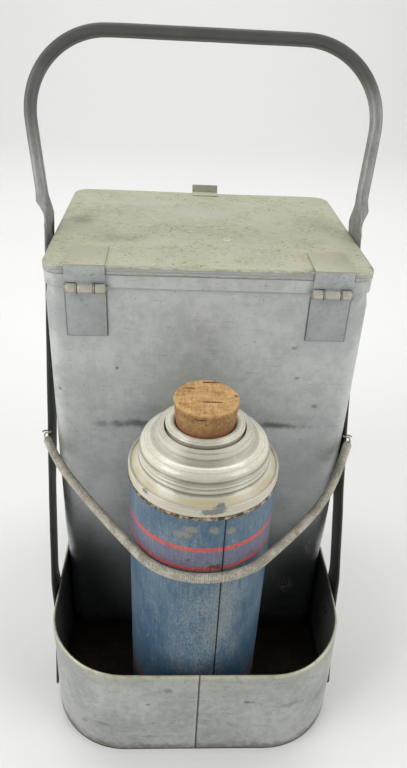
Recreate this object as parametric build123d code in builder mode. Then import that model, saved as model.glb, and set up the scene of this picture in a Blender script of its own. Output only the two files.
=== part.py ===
from build123d import *
import os
from math import acos, asin, atan2, ceil, cos, degrees, hypot, pi, radians, sin, sqrt, tan

os.makedirs("parts", exist_ok=True)

# A sheet-metal lunch carrier: a tall box with a hinged lid stands at the back of a low tray, a vacuum
# bottle stands in the tray in front of it, a wound spring holds the bottle, and a long strip handle is
# riveted to the tray. Millimetres, +Z up, -Y to the front. The origin is on the table under the middle
# of the lid's front edge.

# Box
box_width = 174.0
box_depth = 143.0
box_height = 281.9
box_corner_r = 8.0
box_sheet = 0.8
bottom_recess = 3.0
bottom_sheet = 0.8
band_height = 11.4
band_sheet = 0.8
sheet_fit = 0.05

# Lid
lid_sheet = 0.8
lid_skirt = 5.0
lid_side_gap = 0.4
lid_rest_gap = 0.3
lid_edge_r = 1.2

# Tray
tray_sheet = 1.0
floor_sheet = 1.0
floor_flange = 6.0
tray_height = 73.0
tray_box_gap = 1.9
bay_depth = 91.5
tray_front_r = 46.5
hem_height = 5.0
seam_width = 0.5
seam_depth = 0.35

# Hinges, one left and one right of the middle
hinge_inset = 21.1
hinge_width = 21.4
hinge_leaf = 1.0
hinge_middle_knuckle = 8.8
knuckle_gap = 0.3
hinge_pin_r = 1.6
knuckle_wall = 1.1
knuckle_front_gap = 0.35
knuckle_drop = 7.0
pin_running_gap = 0.05
pin_seat_gap = 0.02
pin_end = 1.7
lid_leaf_length = 27.5
box_leaf_length = 25.1
lid_leaf_gap = 0.3
leaf_joggle = 3.2

# Catch at the back of the lid
catch_x = 1.8
catch_width = 17.8
catch_sheet = 0.8
catch_plate = 8.5
catch_lip = 4.5
catch_lip_reach = 1.3
catch_tongue = 16.0

# Handle: a strip riveted to the tray by its ends, its upper part rolled outwards to a flat tube. It
# stands a little to the left of the middle, as use has bent it.
lean = 20.2
handle_foot_y = -44.7
strap_width = 25.4
strip_sheet = 1.2
strap_foot = 9.0
bow_left = 2.9
bow_right = -0.5
bow_rise = 77.0
fold_above_lid = 8.0
fold_length = 14.0
fold_step_left = 1.7
fold_step_right = 0.1
roll_height = 7.0
roll_r = 2.6
roll_seam = 0.5
bail_flare = 7.75
bail_shift = -2.65
bail_rise = 100.9
bail_corner_r = 41.7
knee_drop = 42.4
knee_r = 36.0

# Rivets, two a side
rivet_r = 2.0
rivet_head_r = 4.2
rivet_head = 1.6
rivet_tail_r = 3.4
rivet_tail = 0.9
rivet_low = 22.0
rivet_pitch = 30.0
rivet_fit = 0.05

# Vacuum bottle
bottle_x = -1.3
bottle_box_gap = 5.7
bottle_seat_gap = 0.2
casing_r = 39.9
casing_sheet = 0.5
casing_top = 185.0
bead_r = 1.2
foot_ring = 2.0
foot_recess = 3.8
foot_sheet = 0.7
foot_rim = 1.4
flange_height = 4.5
flange_over = 0.4
shoulder_sheet = 0.8
thread_r = 34.6
thread_groove = 0.7
thread_pitch = 2.3
thread_count = 3
flare_height = 6.8
dome_height = 5.4
collar_r = 25.3
collar_height = 5.2
neck_ring_r = 21.0
neck_ring_height = 4.6
ring_fit = 0.15
neck_r = 15.9
gasket_height = 2.0
gasket_inset = 0.6
liner_r = 36.0
liner_glass = 1.2
liner_vacuum = 3.0
liner_neck_wall = 3.0
liner_lift = 4.4
liner_round = 12.0
pad_r = 20.0

# Cork
cork_top_r = 17.0
cork_neck_gap = 0.35
cork_out = 13.3
cork_in = 15.0
cork_taper = 0.105
cork_edge = 0.6

# Spring round the bottle
spring_od = 6.3
wire_d = 1.6
spring_turns = 96
spring_bottle_gap = 0.4
spring_front_z = 149.0
spring_end_z = 174.0
spring_end_rise = 10
spring_sway = {-1: (4, 6.2, 0.0), 1: (2, -4.4, 2.6)}
spring_end_x = 0.1
spring_end_y = 0.5
hook_r = 2.7
hook_out = 1.1
hook_edge = 1.5
hook_turn = 262.0
hook_hole_gap = 0.7
hook_tip = 1.6

# Hinges' middle from the box's
hinge_x = box_width / 2 - hinge_inset

# Box and lid levels and faces
box_front = band_sheet + lid_side_gap + lid_sheet
box_back = box_front + box_depth
box_base = floor_sheet
box_top = box_base + box_height
lid_under = box_top + lid_rest_gap
lid_top = lid_under + lid_sheet
skirt_low = lid_top - lid_skirt
band_low = box_top - band_height
lid_reach = band_sheet + lid_side_gap + lid_sheet
lid_back = box_back + lid_reach

# Tray faces
tray_half = box_width / 2 + tray_box_gap + tray_sheet
tray_front = box_front - bay_depth - tray_sheet
tray_back = box_back + tray_box_gap + tray_sheet
tray_back_r = box_corner_r + tray_box_gap + tray_sheet

# Hinge axis, a knuckle's radius ahead of the rim band
knuckle_r = hinge_pin_r + knuckle_wall
axis_y = box_front - band_sheet - knuckle_front_gap - knuckle_r
axis_z = skirt_low - knuckle_drop

# Bottle place and levels
bottle_y = box_front - bottle_box_gap - casing_r
foot_z = floor_sheet + bottle_seat_gap
flange_low = casing_top + bead_r
flange_top = flange_low + flange_height
thread_low = flange_top + flare_height
thread_top = thread_low + thread_count * thread_pitch
dome_top = thread_top + dome_height
collar_top = dome_top + collar_height
neck_top = collar_top + neck_ring_height - shoulder_sheet
ring_low = neck_top - neck_ring_height
liner_top = ring_low - gasket_height
liner_low = foot_z + foot_recess + foot_sheet + liner_lift

# Handle plane: local x is across, local y runs up the lean
lean_rad = radians(lean)
handle_plane = Plane(
    origin=(0, handle_foot_y, 0), x_dir=(1, 0, 0), z_dir=(0, -cos(lean_rad), sin(lean_rad))
)
strap_out = tray_half + strip_sheet
bail_half = strap_out + bail_flare
bow = {-1: bow_left, 1: bow_right}
fold_step = {-1: fold_step_left, 1: fold_step_right}
bow_low = (tray_height + strap_width / 2 * sin(lean_rad)) / cos(lean_rad)
bow_high = (tray_height + bow_rise) / cos(lean_rad)
fold_start = (lid_top + fold_above_lid) / cos(lean_rad)
fold_end = fold_start + fold_length
bail_top = (lid_top + bail_rise) / cos(lean_rad)
knee = bail_top - knee_drop / cos(lean_rad)


def on_strap(z):
    """The middle of the strap's width at height z, as y and z."""
    return (handle_foot_y + z * tan(lean_rad), z)


def strap_edge_y(z):
    """The strap's front edge at height z."""
    return handle_foot_y + z * tan(lean_rad) - strap_width / 2 / cos(lean_rad)


def box_plan(outset):
    """The box's plan grown by outset, corners with it."""
    with BuildSketch() as plan:
        with Locations((0, (box_front + box_back) / 2)):
            RectangleRounded(box_width + 2 * outset, box_depth + 2 * outset, box_corner_r + outset)
    return plan.sketch


def tray_plan(inset):
    """The tray's plan shrunk by inset: large front corners, small back ones."""
    with BuildSketch() as plan:
        with Locations((0, (tray_front + tray_back) / 2)):
            Rectangle(2 * (tray_half - inset), tray_back - tray_front - 2 * inset)
        fillet(plan.vertices().group_by(Axis.Y)[0], tray_front_r - inset)
        fillet(plan.vertices().group_by(Axis.Y)[-1], tray_back_r - inset)
    return plan.sketch


def finish(piece, name):
    piece.part.label = name
    export_step(piece.part, f"parts/{name}.step")


# Tray
with BuildPart() as tray_floor:
    with BuildSketch():
        add(tray_plan(0))
    extrude(amount=floor_sheet)
    with BuildSketch(Plane.XY.offset(floor_sheet)):
        add(tray_plan(tray_sheet + sheet_fit))
        add(tray_plan(tray_sheet + sheet_fit + floor_sheet), mode=Mode.SUBTRACT)
    extrude(amount=floor_flange)
finish(tray_floor, "tray_floor")

rivet_spots = [on_strap(rivet_low), on_strap(rivet_low + rivet_pitch)]

with BuildPart() as tray_band:
    with BuildSketch(Plane.XY.offset(floor_sheet)):
        add(tray_plan(0))
        add(tray_plan(tray_sheet), mode=Mode.SUBTRACT)
    extrude(amount=tray_height - floor_sheet)
    with BuildSketch(Plane.XY.offset(tray_height - hem_height)):
        add(tray_plan(tray_sheet / 2))
        add(tray_plan(2 * tray_sheet), mode=Mode.SUBTRACT)
    extrude(amount=hem_height)
    with Locations((0, tray_front, tray_height / 2)):
        Box(seam_width, 2 * seam_depth, 2 * tray_height, mode=Mode.SUBTRACT)
    with BuildSketch(Plane.YZ):
        with Locations(*rivet_spots):
            Circle(rivet_r + rivet_fit)
    extrude(amount=2 * tray_half, both=True, mode=Mode.SUBTRACT)
finish(tray_band, "tray_band")

# Box
with BuildPart() as box_body:
    with BuildSketch(Plane.XY.offset(box_base)):
        add(box_plan(0))
        add(box_plan(-box_sheet), mode=Mode.SUBTRACT)
    extrude(amount=box_height)
finish(box_body, "box_body")

with BuildPart() as box_bottom:
    with BuildSketch(Plane.XY.offset(box_base)):
        add(box_plan(-box_sheet - sheet_fit))
    extrude(amount=bottom_recess + bottom_sheet)
    with BuildSketch(Plane.XY.offset(box_base)):
        add(box_plan(-box_sheet - sheet_fit - bottom_sheet))
    extrude(amount=bottom_recess, mode=Mode.SUBTRACT)
finish(box_bottom, "box_bottom")

with BuildPart() as box_rim_band:
    with BuildSketch(Plane.XY.offset(band_low)):
        add(box_plan(band_sheet))
        add(box_plan(sheet_fit), mode=Mode.SUBTRACT)
    extrude(amount=band_height)
finish(box_rim_band, "box_rim_band")

# Lid
with BuildPart() as lid_cover:
    with BuildSketch(Plane.XY.offset(skirt_low)):
        add(box_plan(lid_reach))
    extrude(amount=lid_skirt)
    fillet(lid_cover.faces().sort_by(Axis.Z)[-1].edges(), lid_edge_r)
    with BuildSketch(Plane.XY.offset(skirt_low)):
        add(box_plan(lid_reach - lid_sheet))
    extrude(amount=lid_skirt - lid_sheet, mode=Mode.SUBTRACT)
finish(lid_cover, "lid_cover")

# A strip over the lid's back edge: a plate on top, a lip to lift it by and a tongue behind
with BuildPart() as lid_catch:
    with BuildSketch(Plane.YZ.offset(catch_x - catch_width / 2)):
        with BuildLine():
            Polyline(
                (lid_back - catch_plate, lid_top),
                (lid_back, lid_top),
                (lid_back, lid_top - catch_tongue),
                (lid_back + catch_sheet, lid_top - catch_tongue),
                (lid_back + catch_sheet, lid_top + catch_sheet),
                (lid_back + catch_sheet + catch_lip_reach, lid_top + catch_sheet + catch_lip),
                (lid_back + catch_lip_reach, lid_top + catch_sheet + catch_lip),
                (lid_back, lid_top + catch_sheet),
                (lid_back - catch_plate, lid_top + catch_sheet),
                close=True,
            )
        make_face()
    extrude(amount=catch_width)
finish(lid_catch, "lid_catch")

# Hinges: the middle knuckle is the lid leaf's, the outer two are the box leaf's
outer_knuckle = (hinge_width - hinge_middle_knuckle) / 2 - knuckle_gap
outer_knuckle_x = (hinge_width - outer_knuckle) / 2
plate_top = axis_z - knuckle_r - hinge_leaf - knuckle_gap / 2

for side, sign in (("left", -1), ("right", 1)):
    middle = sign * hinge_x

    with BuildPart() as hinge_lid_leaf:
        with Locations((middle, (lid_leaf_length - hinge_leaf) / 2, lid_top + hinge_leaf / 2)):
            Box(hinge_width, lid_leaf_length + hinge_leaf, hinge_leaf)
        drop_low = axis_z + knuckle_r + lid_leaf_gap
        with Locations((middle, -hinge_leaf / 2, (drop_low + lid_top) / 2)):
            Box(hinge_width, hinge_leaf, lid_top - drop_low)
        with Locations((middle, -hinge_leaf / 2, (axis_z + drop_low) / 2)):
            Box(hinge_middle_knuckle, hinge_leaf, drop_low - axis_z)
        with BuildSketch(Plane.YZ.offset(middle - hinge_middle_knuckle / 2)):
            with Locations((axis_y, axis_z)):
                Circle(knuckle_r)
        extrude(amount=hinge_middle_knuckle)
        with BuildSketch(Plane.YZ.offset(middle - hinge_width / 2)):
            with Locations((axis_y, axis_z)):
                Circle(hinge_pin_r + pin_running_gap)
        extrude(amount=hinge_width, mode=Mode.SUBTRACT)
    finish(hinge_lid_leaf, f"{side}_hinge_lid_leaf")

    with BuildPart() as hinge_box_leaf:
        with Locations((middle, box_front - hinge_leaf / 2, plate_top - box_leaf_length / 2)):
            Box(hinge_width, hinge_leaf, box_leaf_length)
        for end in (-1, 1):
            start = middle + end * outer_knuckle_x - outer_knuckle / 2
            with BuildSketch(Plane.YZ.offset(start)):
                with BuildLine():
                    Polyline(
                        (box_front, plate_top),
                        (box_front - band_sheet - knuckle_front_gap / 2, plate_top + leaf_joggle),
                        (axis_y, plate_top + leaf_joggle),
                        (box_front - hinge_leaf - knuckle_r / 2, plate_top + hinge_leaf),
                        (box_front - hinge_leaf, plate_top),
                        close=True,
                    )
                make_face()
                with Locations((axis_y, axis_z)):
                    Circle(knuckle_r)
            extrude(amount=outer_knuckle)
        with BuildSketch(Plane.YZ.offset(middle - hinge_width / 2)):
            with Locations((axis_y, axis_z)):
                Circle(hinge_pin_r + pin_seat_gap)
        extrude(amount=hinge_width, mode=Mode.SUBTRACT)
    finish(hinge_box_leaf, f"{side}_hinge_box_leaf")

    with BuildPart() as hinge_pin:
        with BuildSketch(Plane.YZ.offset(middle - sign * hinge_width / 2)):
            with Locations((axis_y, axis_z)):
                Circle(hinge_pin_r)
        extrude(amount=sign * hinge_width)
        extrude(hinge_pin.faces().sort_by(Axis.X)[0 if sign > 0 else -1], amount=pin_end)
    finish(hinge_pin, f"{side}_hinge_pin")

# Handle. The strip's section is drawn along its middle line, from the middle of its width outwards:
# a flat, a corner, a flat, a corner and a last flat that ends at the seam. The outer corners fold
# first. A fold of 0 leaves a corner flat and a fold of 1 makes it square.
corner_steps = 3
flat_fold = 0.004
mid_r = roll_r - strip_sheet / 2
mid_height = roll_height - strip_sheet
mid_width = (strap_width + roll_seam + (8 - 2 * pi) * mid_r) / 2 - mid_height
corner = [(pi * mid_r / 2 / corner_steps, pi / 2 / corner_steps)] * corner_steps
seam_flat = (mid_width - roll_seam) / 2 - mid_r
folds = [(0, flat_fold, flat_fold), (0.35, 1, flat_fold), (0.7, 1, 0.5), (1, 1, 1)]


def strip_section(plane, outer_fold, inner_fold):
    """The strip across the plane, rolled towards the plane's local y."""
    steps = [(mid_width / 2 - mid_r, 0)]
    steps += [(length, turn * inner_fold) for length, turn in corner]
    steps.append((mid_height - 2 * mid_r, 0))
    steps += [(length, turn * outer_fold) for length, turn in corner]
    steps.append((seam_flat, 0))
    x, y, angle = 0.0, -strip_sheet / 2, 0.0
    hollow, skin = [], []
    for length, turn in steps:
        x, y = x + length * cos(angle + turn / 2), y + length * sin(angle + turn / 2)
        angle += turn
        side_x, side_y = -sin(angle) * strip_sheet / 2, cos(angle) * strip_sheet / 2
        hollow.append((x + side_x, y + side_y))
        skin.append((x - side_x, y - side_y))
    right = skin + hollow[::-1]
    with BuildSketch(plane) as section:
        with BuildLine():
            Polyline(*right, *[(-px, py) for px, py in right[::-1]], close=True)
        make_face()
    return section.sketch


def across(sign, x, s, slope):
    """The plane across a leg: local x is the strip's width, local y points out of the bail."""
    point = handle_plane.from_local_coords(Vector(x, s, 0))
    along = handle_plane.from_local_coords(Vector(sign * slope, 1, 0)) - handle_plane.origin
    return Plane(origin=point, x_dir=handle_plane.z_dir * sign, z_dir=along.normalized())


hook_z = spring_end_z
hook_b = hook_edge - sqrt(hook_r**2 - hook_out**2)
hook_hole = sqrt(hook_r**2 - hook_out**2) - hook_b

with BuildPart() as carry_handle:
    ends = {}
    for sign in (-1, 1):
        face = strap_out + bow[sign]
        with BuildSketch(handle_plane):
            with BuildLine():
                Polyline(
                    (sign * strap_out, strap_foot), (sign * strap_out, bow_low),
                    (sign * face, bow_high), (sign * face, fold_start),
                    (sign * (face - strip_sheet), fold_start), (sign * (face - strip_sheet), bow_high),
                    (sign * tray_half, bow_low), (sign * tray_half, strap_foot),
                    close=True,
                )
            make_face()
        extrude(amount=strap_width / 2, both=True)
        rolled = face + fold_step[sign]
        slope = (bail_half + sign * bail_shift - rolled) / (knee - fold_end)
        planes = [
            across(
                sign,
                sign * (face + share * fold_step[sign]),
                fold_start + share * fold_length,
                share * slope,
            )
            for share, _, _ in folds
        ]
        for n in range(len(folds) - 1):
            low = strip_section(planes[n], *folds[n][1:])
            high = strip_section(planes[n + 1], *folds[n + 1][1:])
            loft([low.face(), high.face()], ruled=True)
        ends[sign] = (sign * rolled, planes[-1])
    with BuildLine(handle_plane) as bail:
        FilletPolyline(
            (ends[-1][0], fold_end),
            (bail_shift - bail_half, knee),
            (bail_shift - bail_half, bail_top),
            (bail_shift + bail_half, bail_top),
            (bail_shift + bail_half, knee),
            (ends[1][0], fold_end),
            radius=[knee_r, bail_corner_r, bail_corner_r, knee_r],
        )
    sweep(strip_section(ends[-1][1], 1, 1), path=bail.wires()[0])
    for sign in (-1, 1):
        with BuildSketch(Plane.YZ.offset(sign * strap_out)):
            with Locations(*rivet_spots):
                Circle(rivet_r + rivet_fit)
            edge = strap_edge_y(hook_z)
            with Locations((edge + hook_hole * cos(lean_rad), hook_z - hook_hole * sin(lean_rad))):
                Circle(wire_d / 2 + hook_hole_gap)
        extrude(amount=2 * strip_sheet + bow[sign], both=True, mode=Mode.SUBTRACT)
finish(carry_handle, "carry_handle")

with BuildPart() as handle_rivets:
    for sign in (-1, 1):
        for y, z in rivet_spots:
            seat = Plane(origin=(sign * strap_out, y, z), x_dir=(0, 1, 0), z_dir=(sign, 0, 0))
            with BuildSketch(seat):
                Circle(rivet_head_r)
            extrude(amount=rivet_head, taper=35)
            with BuildSketch(seat):
                Circle(rivet_r)
            extrude(amount=-(strip_sheet + tray_sheet))
            with BuildSketch(seat.offset(-(strip_sheet + tray_sheet))):
                Circle(rivet_tail_r)
            extrude(amount=-rivet_tail)
finish(handle_rivets, "handle_rivets")

# Vacuum bottle: every piece is turned about one upright axis
bottle_side = Plane(origin=(bottle_x, bottle_y, 0), x_dir=(1, 0, 0), z_dir=(0, -1, 0))
bottle_axis = Axis((bottle_x, bottle_y, 0), (0, 0, 1))

with BuildPart() as bottle_casing:
    with BuildSketch(bottle_side):
        with Locations((casing_r - casing_sheet / 2, (foot_z + foot_ring + casing_top) / 2)):
            Rectangle(casing_sheet, casing_top - foot_z - foot_ring)
        with Locations((casing_r - casing_sheet, casing_top)):
            Circle(bead_r)
    revolve(axis=bottle_axis)
finish(bottle_casing, "bottle_casing")

with BuildPart() as casing_bottom_cap:
    cap_wall = casing_r - casing_sheet - sheet_fit
    plate = foot_z + foot_recess
    with BuildSketch(bottle_side):
        with BuildLine():
            Polyline(
                (0, plate), (cap_wall - foot_rim, plate), (cap_wall - foot_rim, foot_z),
                (casing_r, foot_z), (casing_r, foot_z + foot_ring), (cap_wall, foot_z + foot_ring),
                (cap_wall, plate + foot_sheet), (0, plate + foot_sheet),
                close=True,
            )
        make_face()
    revolve(axis=bottle_axis)
finish(casing_bottom_cap, "casing_bottom_cap")

with BuildPart() as bottle_shoulder:
    flange_r = casing_r + flange_over
    inner = thread_r - thread_groove - shoulder_sheet
    groove_z = [thread_low + (n + 0.5) * thread_pitch for n in range(thread_count)]
    with BuildSketch(bottle_side):
        with BuildLine():
            turn = Polyline(
                (flange_r, flange_low), (flange_r, flange_top - shoulder_sheet),
                (flange_r - shoulder_sheet, flange_top),
            )
            flare = RadiusArc(turn @ 1, (thread_r, thread_low), radius=(flange_r - thread_r) * 1.6)
            wall = Line(flare @ 1, (thread_r, thread_top))
            Bezier(
                wall @ 1, (thread_r, dome_top - shoulder_sheet),
                (collar_r + dome_height, dome_top), (collar_r, dome_top),
            )
            Polyline(
                (collar_r, dome_top), (collar_r, collar_top - shoulder_sheet),
                (collar_r - shoulder_sheet, collar_top), (neck_ring_r + ring_fit, collar_top),
                (neck_ring_r + ring_fit, collar_top - shoulder_sheet),
                (collar_r - shoulder_sheet, collar_top - 2 * shoulder_sheet),
                (collar_r - shoulder_sheet, dome_top - shoulder_sheet),
                (inner, thread_top), (inner, thread_low),
                (flange_r - 2 * shoulder_sheet, flange_top - shoulder_sheet),
                (flange_r - shoulder_sheet, flange_low), (flange_r, flange_low),
            )
        make_face()
        for z in groove_z:
            with Locations((thread_r, z)):
                Circle(thread_groove, mode=Mode.SUBTRACT)
    revolve(axis=bottle_axis)
finish(bottle_shoulder, "bottle_shoulder")

with BuildPart() as neck_ring:
    with BuildSketch(bottle_side):
        with Locations(((neck_r + neck_ring_r) / 2, (ring_low + neck_top) / 2)):
            RectangleRounded(neck_ring_r - neck_r, neck_ring_height, neck_ring_height * 0.42)
    revolve(axis=bottle_axis)
finish(neck_ring, "neck_ring")

with BuildPart() as neck_gasket:
    with BuildSketch(bottle_side):
        gasket_out = neck_ring_r - gasket_inset
        with Locations(((neck_r + gasket_out) / 2, ring_low - gasket_height / 2)):
            Rectangle(gasket_out - neck_r, gasket_height)
    revolve(axis=bottle_axis)
finish(neck_gasket, "neck_gasket")

# Glass liner: an outer and an inner flask joined at the neck, with the vacuum between them
with BuildPart() as glass_liner:
    wall = liner_glass + liner_vacuum + liner_glass
    neck_out = neck_r + liner_neck_wall
    turn_z = flange_low
    with BuildSketch(bottle_side):
        with BuildLine():
            Polyline(
                (0, liner_low), (liner_r - liner_round, liner_low), (liner_r, liner_low + liner_round),
                (liner_r, turn_z), (neck_out, liner_top - liner_vacuum), (neck_out, liner_top),
                (neck_r, liner_top), (neck_r, liner_top - liner_vacuum - liner_glass),
                (liner_r - wall, turn_z - wall / 2), (liner_r - wall, liner_low + liner_round),
                (liner_r - liner_round, liner_low + wall), (0, liner_low + wall),
                (0, liner_low + wall - liner_glass), (liner_r - liner_round, liner_low + wall - liner_glass),
                (liner_r - wall + liner_glass, liner_low + liner_round - liner_glass / 2),
                (liner_r - wall + liner_glass, turn_z - wall / 2 + liner_glass / 2),
                (neck_r + liner_glass, liner_top - liner_vacuum),
                (neck_out - liner_glass, liner_top - liner_vacuum - liner_glass / 2),
                (liner_r - liner_glass, turn_z - liner_glass / 2),
                (liner_r - liner_glass, liner_low + liner_round + liner_glass / 2),
                (liner_r - liner_round - liner_glass / 2, liner_low + liner_glass),
                (0, liner_low + liner_glass),
                close=True,
            )
        make_face()
    revolve(axis=bottle_axis)
finish(glass_liner, "glass_liner")

with BuildPart() as liner_base_pad:
    with BuildSketch(Plane(origin=(bottle_x, bottle_y, liner_low - liner_lift))):
        Circle(pad_r)
    extrude(amount=liner_lift)
finish(liner_base_pad, "liner_base_pad")

# Cork: a cone, wider at the top, that clears the neck by a small gap
with BuildPart() as cork_stopper:
    neck_cork_r = neck_r - cork_neck_gap
    with BuildSketch(bottle_side):
        with BuildLine():
            Polyline(
                (0, neck_top - cork_in), (neck_cork_r - cork_taper * cork_in, neck_top - cork_in),
                (neck_cork_r, neck_top), (cork_top_r, neck_top + cork_out - cork_edge),
                (cork_top_r - cork_edge, neck_top + cork_out), (0, neck_top + cork_out),
                close=True,
            )
        make_face()
    revolve(axis=bottle_axis)
finish(cork_stopper, "cork_stopper")

# Spring. In plan its middle line runs from each strap to the bottle and round the bottle's front. It
# climbs to the straps near its ends, and between them it sways: the left run lies high, the right one
# low and a little outwards.
coil_r = (spring_od - wire_d) / 2
wrap_r = casing_r + spring_bottle_gap + spring_od / 2


def end_x(sign):
    """Where the spring's middle line ends, across."""
    return sign * (strap_out + bow[sign] - spring_end_x)


def tangent_run(sign):
    """Length and heading of the straight run from one end to the bottle, in plan."""
    dx, dy = bottle_x - end_x(sign), bottle_y - spring_end_y
    far = hypot(dx, dy)
    heading = atan2(dy, dx) + sign * asin(wrap_r / far)
    return sqrt(far**2 - wrap_r**2), heading


left_run, left_heading = tangent_run(-1)
right_run, right_heading = tangent_run(1)
wrap_angle = (right_heading + pi - left_heading) % (2 * pi)
wrap_length = wrap_angle * wrap_r
route_length = left_run + wrap_length + right_run


def swell(t, power):
    """A hump of height 1 that is 0 at both ends, later for a higher power."""
    return t**power * (1 - t) * (power + 1) ** (power + 1) / power**power


def straight_route(s):
    """The plan line at s, with its outward heading."""
    if s < left_run:
        x, y = end_x(-1) + s * cos(left_heading), spring_end_y + s * sin(left_heading)
        return x, y, left_heading - pi / 2
    if s > left_run + wrap_length:
        back = route_length - s
        x, y = end_x(1) + back * cos(right_heading), spring_end_y + back * sin(right_heading)
        return x, y, right_heading + pi / 2
    angle = left_heading - pi / 2 + (s - left_run) / wrap_r
    return bottle_x + wrap_r * cos(angle), bottle_y + wrap_r * sin(angle), angle


def route(s):
    """The middle line's point s along the plan line."""
    x, y, outwards = straight_route(s)
    share = 2 * s / route_length - 1
    t = min(abs(share), 1)
    power, lift, bulge = spring_sway[1 if share > 0 else -1]
    rise = (spring_end_z - spring_front_z) * t**spring_end_rise
    x += bulge * swell(t, power) * cos(outwards)
    y += bulge * swell(t, power) * sin(outwards)
    return Vector(x, y, spring_front_z + rise + lift * swell(t, power))


def wound(s):
    """The wire's middle on the coil at s along the route."""
    step = 0.01
    along = (route(s + step) - route(s - step)).normalized()
    out = along.cross(Vector(0, 0, 1)).normalized()
    up = out.cross(along)
    angle = 2 * pi * spring_turns * s / route_length
    return route(s) + out * coil_r * cos(angle) + up * coil_r * sin(angle)


def heading_of(curve, s, step=0.01):
    return (curve(s + step) - curve(s - step)).normalized()


def biarc(p0, t0, p1, t1):
    """Two arcs from p0 to p1 that keep both headings."""
    v, t = p1 - p0, t0 + t1
    a, b, c = t.dot(t) - 4, -2 * v.dot(t), v.dot(v)
    d = (-b - sqrt(b * b - 4 * a * c)) / (2 * a)
    q0, q1 = p0 + t0 * d, p1 - t1 * d
    joint = (q0 + q1) * 0.5
    middle = (q1 - q0).normalized()
    return [TangentArc(p0, joint, tangent=t0), TangentArc(joint, p1, tangent=middle)]


def hook(sign):
    """Points and headings round an end hook, from the coil out to its tip."""
    middle = strap_out + bow[sign] - strip_sheet / 2
    edge = Vector(sign * middle, strap_edge_y(hook_z), hook_z)
    out = Vector(sign, 0, 0)
    into = Vector(0, cos(lean_rad), -sin(lean_rad))
    centre = edge + out * hook_out - into * hook_b
    steps = ceil(hook_turn / 90)
    stops = [radians(hook_turn) * n / steps for n in range(steps + 1)]
    points = [centre - into * hook_r * cos(a) - out * hook_r * sin(a) for a in stops]
    headings = [into * sin(a) - out * cos(a) for a in stops]
    return points, headings


def hook_curves(sign):
    """The hook's arcs and its straight tip, from the coil's end outwards."""
    points, headings = hook(sign)
    curves = []
    for n in range(len(points) - 1):
        curves.append(TangentArc(points[n], points[n + 1], tangent=headings[n]))
    curves.append(Line(points[-1], points[-1] + headings[-1] * hook_tip))
    return curves


half_turns = 2 * spring_turns
stations = [route_length * n / half_turns for n in range(half_turns + 1)]
coil_points = [wound(s) for s in stations]
coil_headings = [heading_of(wound, s) for s in stations]

with BuildPart() as retaining_spring:
    with BuildLine() as wire:
        for sign, n in ((-1, 0), (1, half_turns)):
            points, headings = hook(sign)
            leave = coil_headings[n] * sign
            biarc(coil_points[n], leave, points[0], headings[0])
            hook_curves(sign)
        for n in range(half_turns):
            biarc(coil_points[n], coil_headings[n], coil_points[n + 1], coil_headings[n + 1])
    spring_wire = wire.wires()[0]
    with BuildSketch(Plane(origin=spring_wire @ 0, z_dir=spring_wire % 0)):
        Circle(wire_d / 2)
    sweep(path=spring_wire)
finish(retaining_spring, "retaining_spring")

# The least gap between the wire's turns, on points a twelfth of a turn apart
fine = [wound(route_length * n / (12 * spring_turns)) for n in range(12 * spring_turns + 1)]
least = min(
    (fine[i] - fine[j]).length
    for i in range(len(fine))
    for j in range(i + 7, min(i + 19, len(fine)))
)
print("spring: turns", spring_turns, "least gap between turns", round(least - wire_d, 2), "mm")
print("spring: route", round(route_length, 1), "mm, solid", round(retaining_spring.part.volume, 1), "mm3")
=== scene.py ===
import math
import bmesh
import bpy
from mathutils import Matrix, Vector, noise


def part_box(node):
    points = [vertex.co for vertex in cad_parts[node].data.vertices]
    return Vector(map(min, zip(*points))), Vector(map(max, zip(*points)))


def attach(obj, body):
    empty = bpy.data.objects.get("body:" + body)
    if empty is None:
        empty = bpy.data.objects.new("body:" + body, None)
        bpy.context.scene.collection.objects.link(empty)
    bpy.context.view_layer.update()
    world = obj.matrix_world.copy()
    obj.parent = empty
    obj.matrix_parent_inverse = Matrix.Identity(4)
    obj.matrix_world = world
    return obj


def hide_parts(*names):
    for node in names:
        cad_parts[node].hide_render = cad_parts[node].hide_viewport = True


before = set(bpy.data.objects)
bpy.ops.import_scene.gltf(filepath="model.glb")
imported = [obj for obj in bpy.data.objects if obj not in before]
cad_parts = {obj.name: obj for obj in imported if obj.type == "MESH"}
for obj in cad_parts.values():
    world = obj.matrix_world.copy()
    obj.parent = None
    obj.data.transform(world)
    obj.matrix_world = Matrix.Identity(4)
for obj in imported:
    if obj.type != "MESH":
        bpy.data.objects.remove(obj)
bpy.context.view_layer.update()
print("frame loaded:", len(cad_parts), "nodes")

# studio; a lamp is its place, its target, its width and height, and its power
studio = dict(
    place=(-0.01974, -0.3219, 0.4095), yaw=0.0588, pitch=0.5456, roll=0.0506, lens=30.586,
    floorFront=-4.0, floorBack=2.4, floorWide=9, wallHeight=4.0, cove=0.7, floorTone=(0.725, 0.725, 0.715),
    roomTone=(1.0, 0.995, 0.975), roomPower=1.0, roomFront=0.07, roomAbove=0.42,
    lamps=dict(
        lightLeft=((-1.35, -0.75, 1.0), (0, -0.05, 0.15), (0.9, 1.3), 21),
        lightRight=((1.35, -0.75, 1.0), (0, -0.05, 0.15), (0.9, 1.3), 15),
        lightAbove=((0.0, 0.6, 2.0), (0, 0.05, 0.1), (1.8, 1.4), 9),
        lightBack=((0.0, 0.9, 2.4), (0, 2.2, 0.5), (2.6, 1.0), 36),
    ),
)


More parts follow.
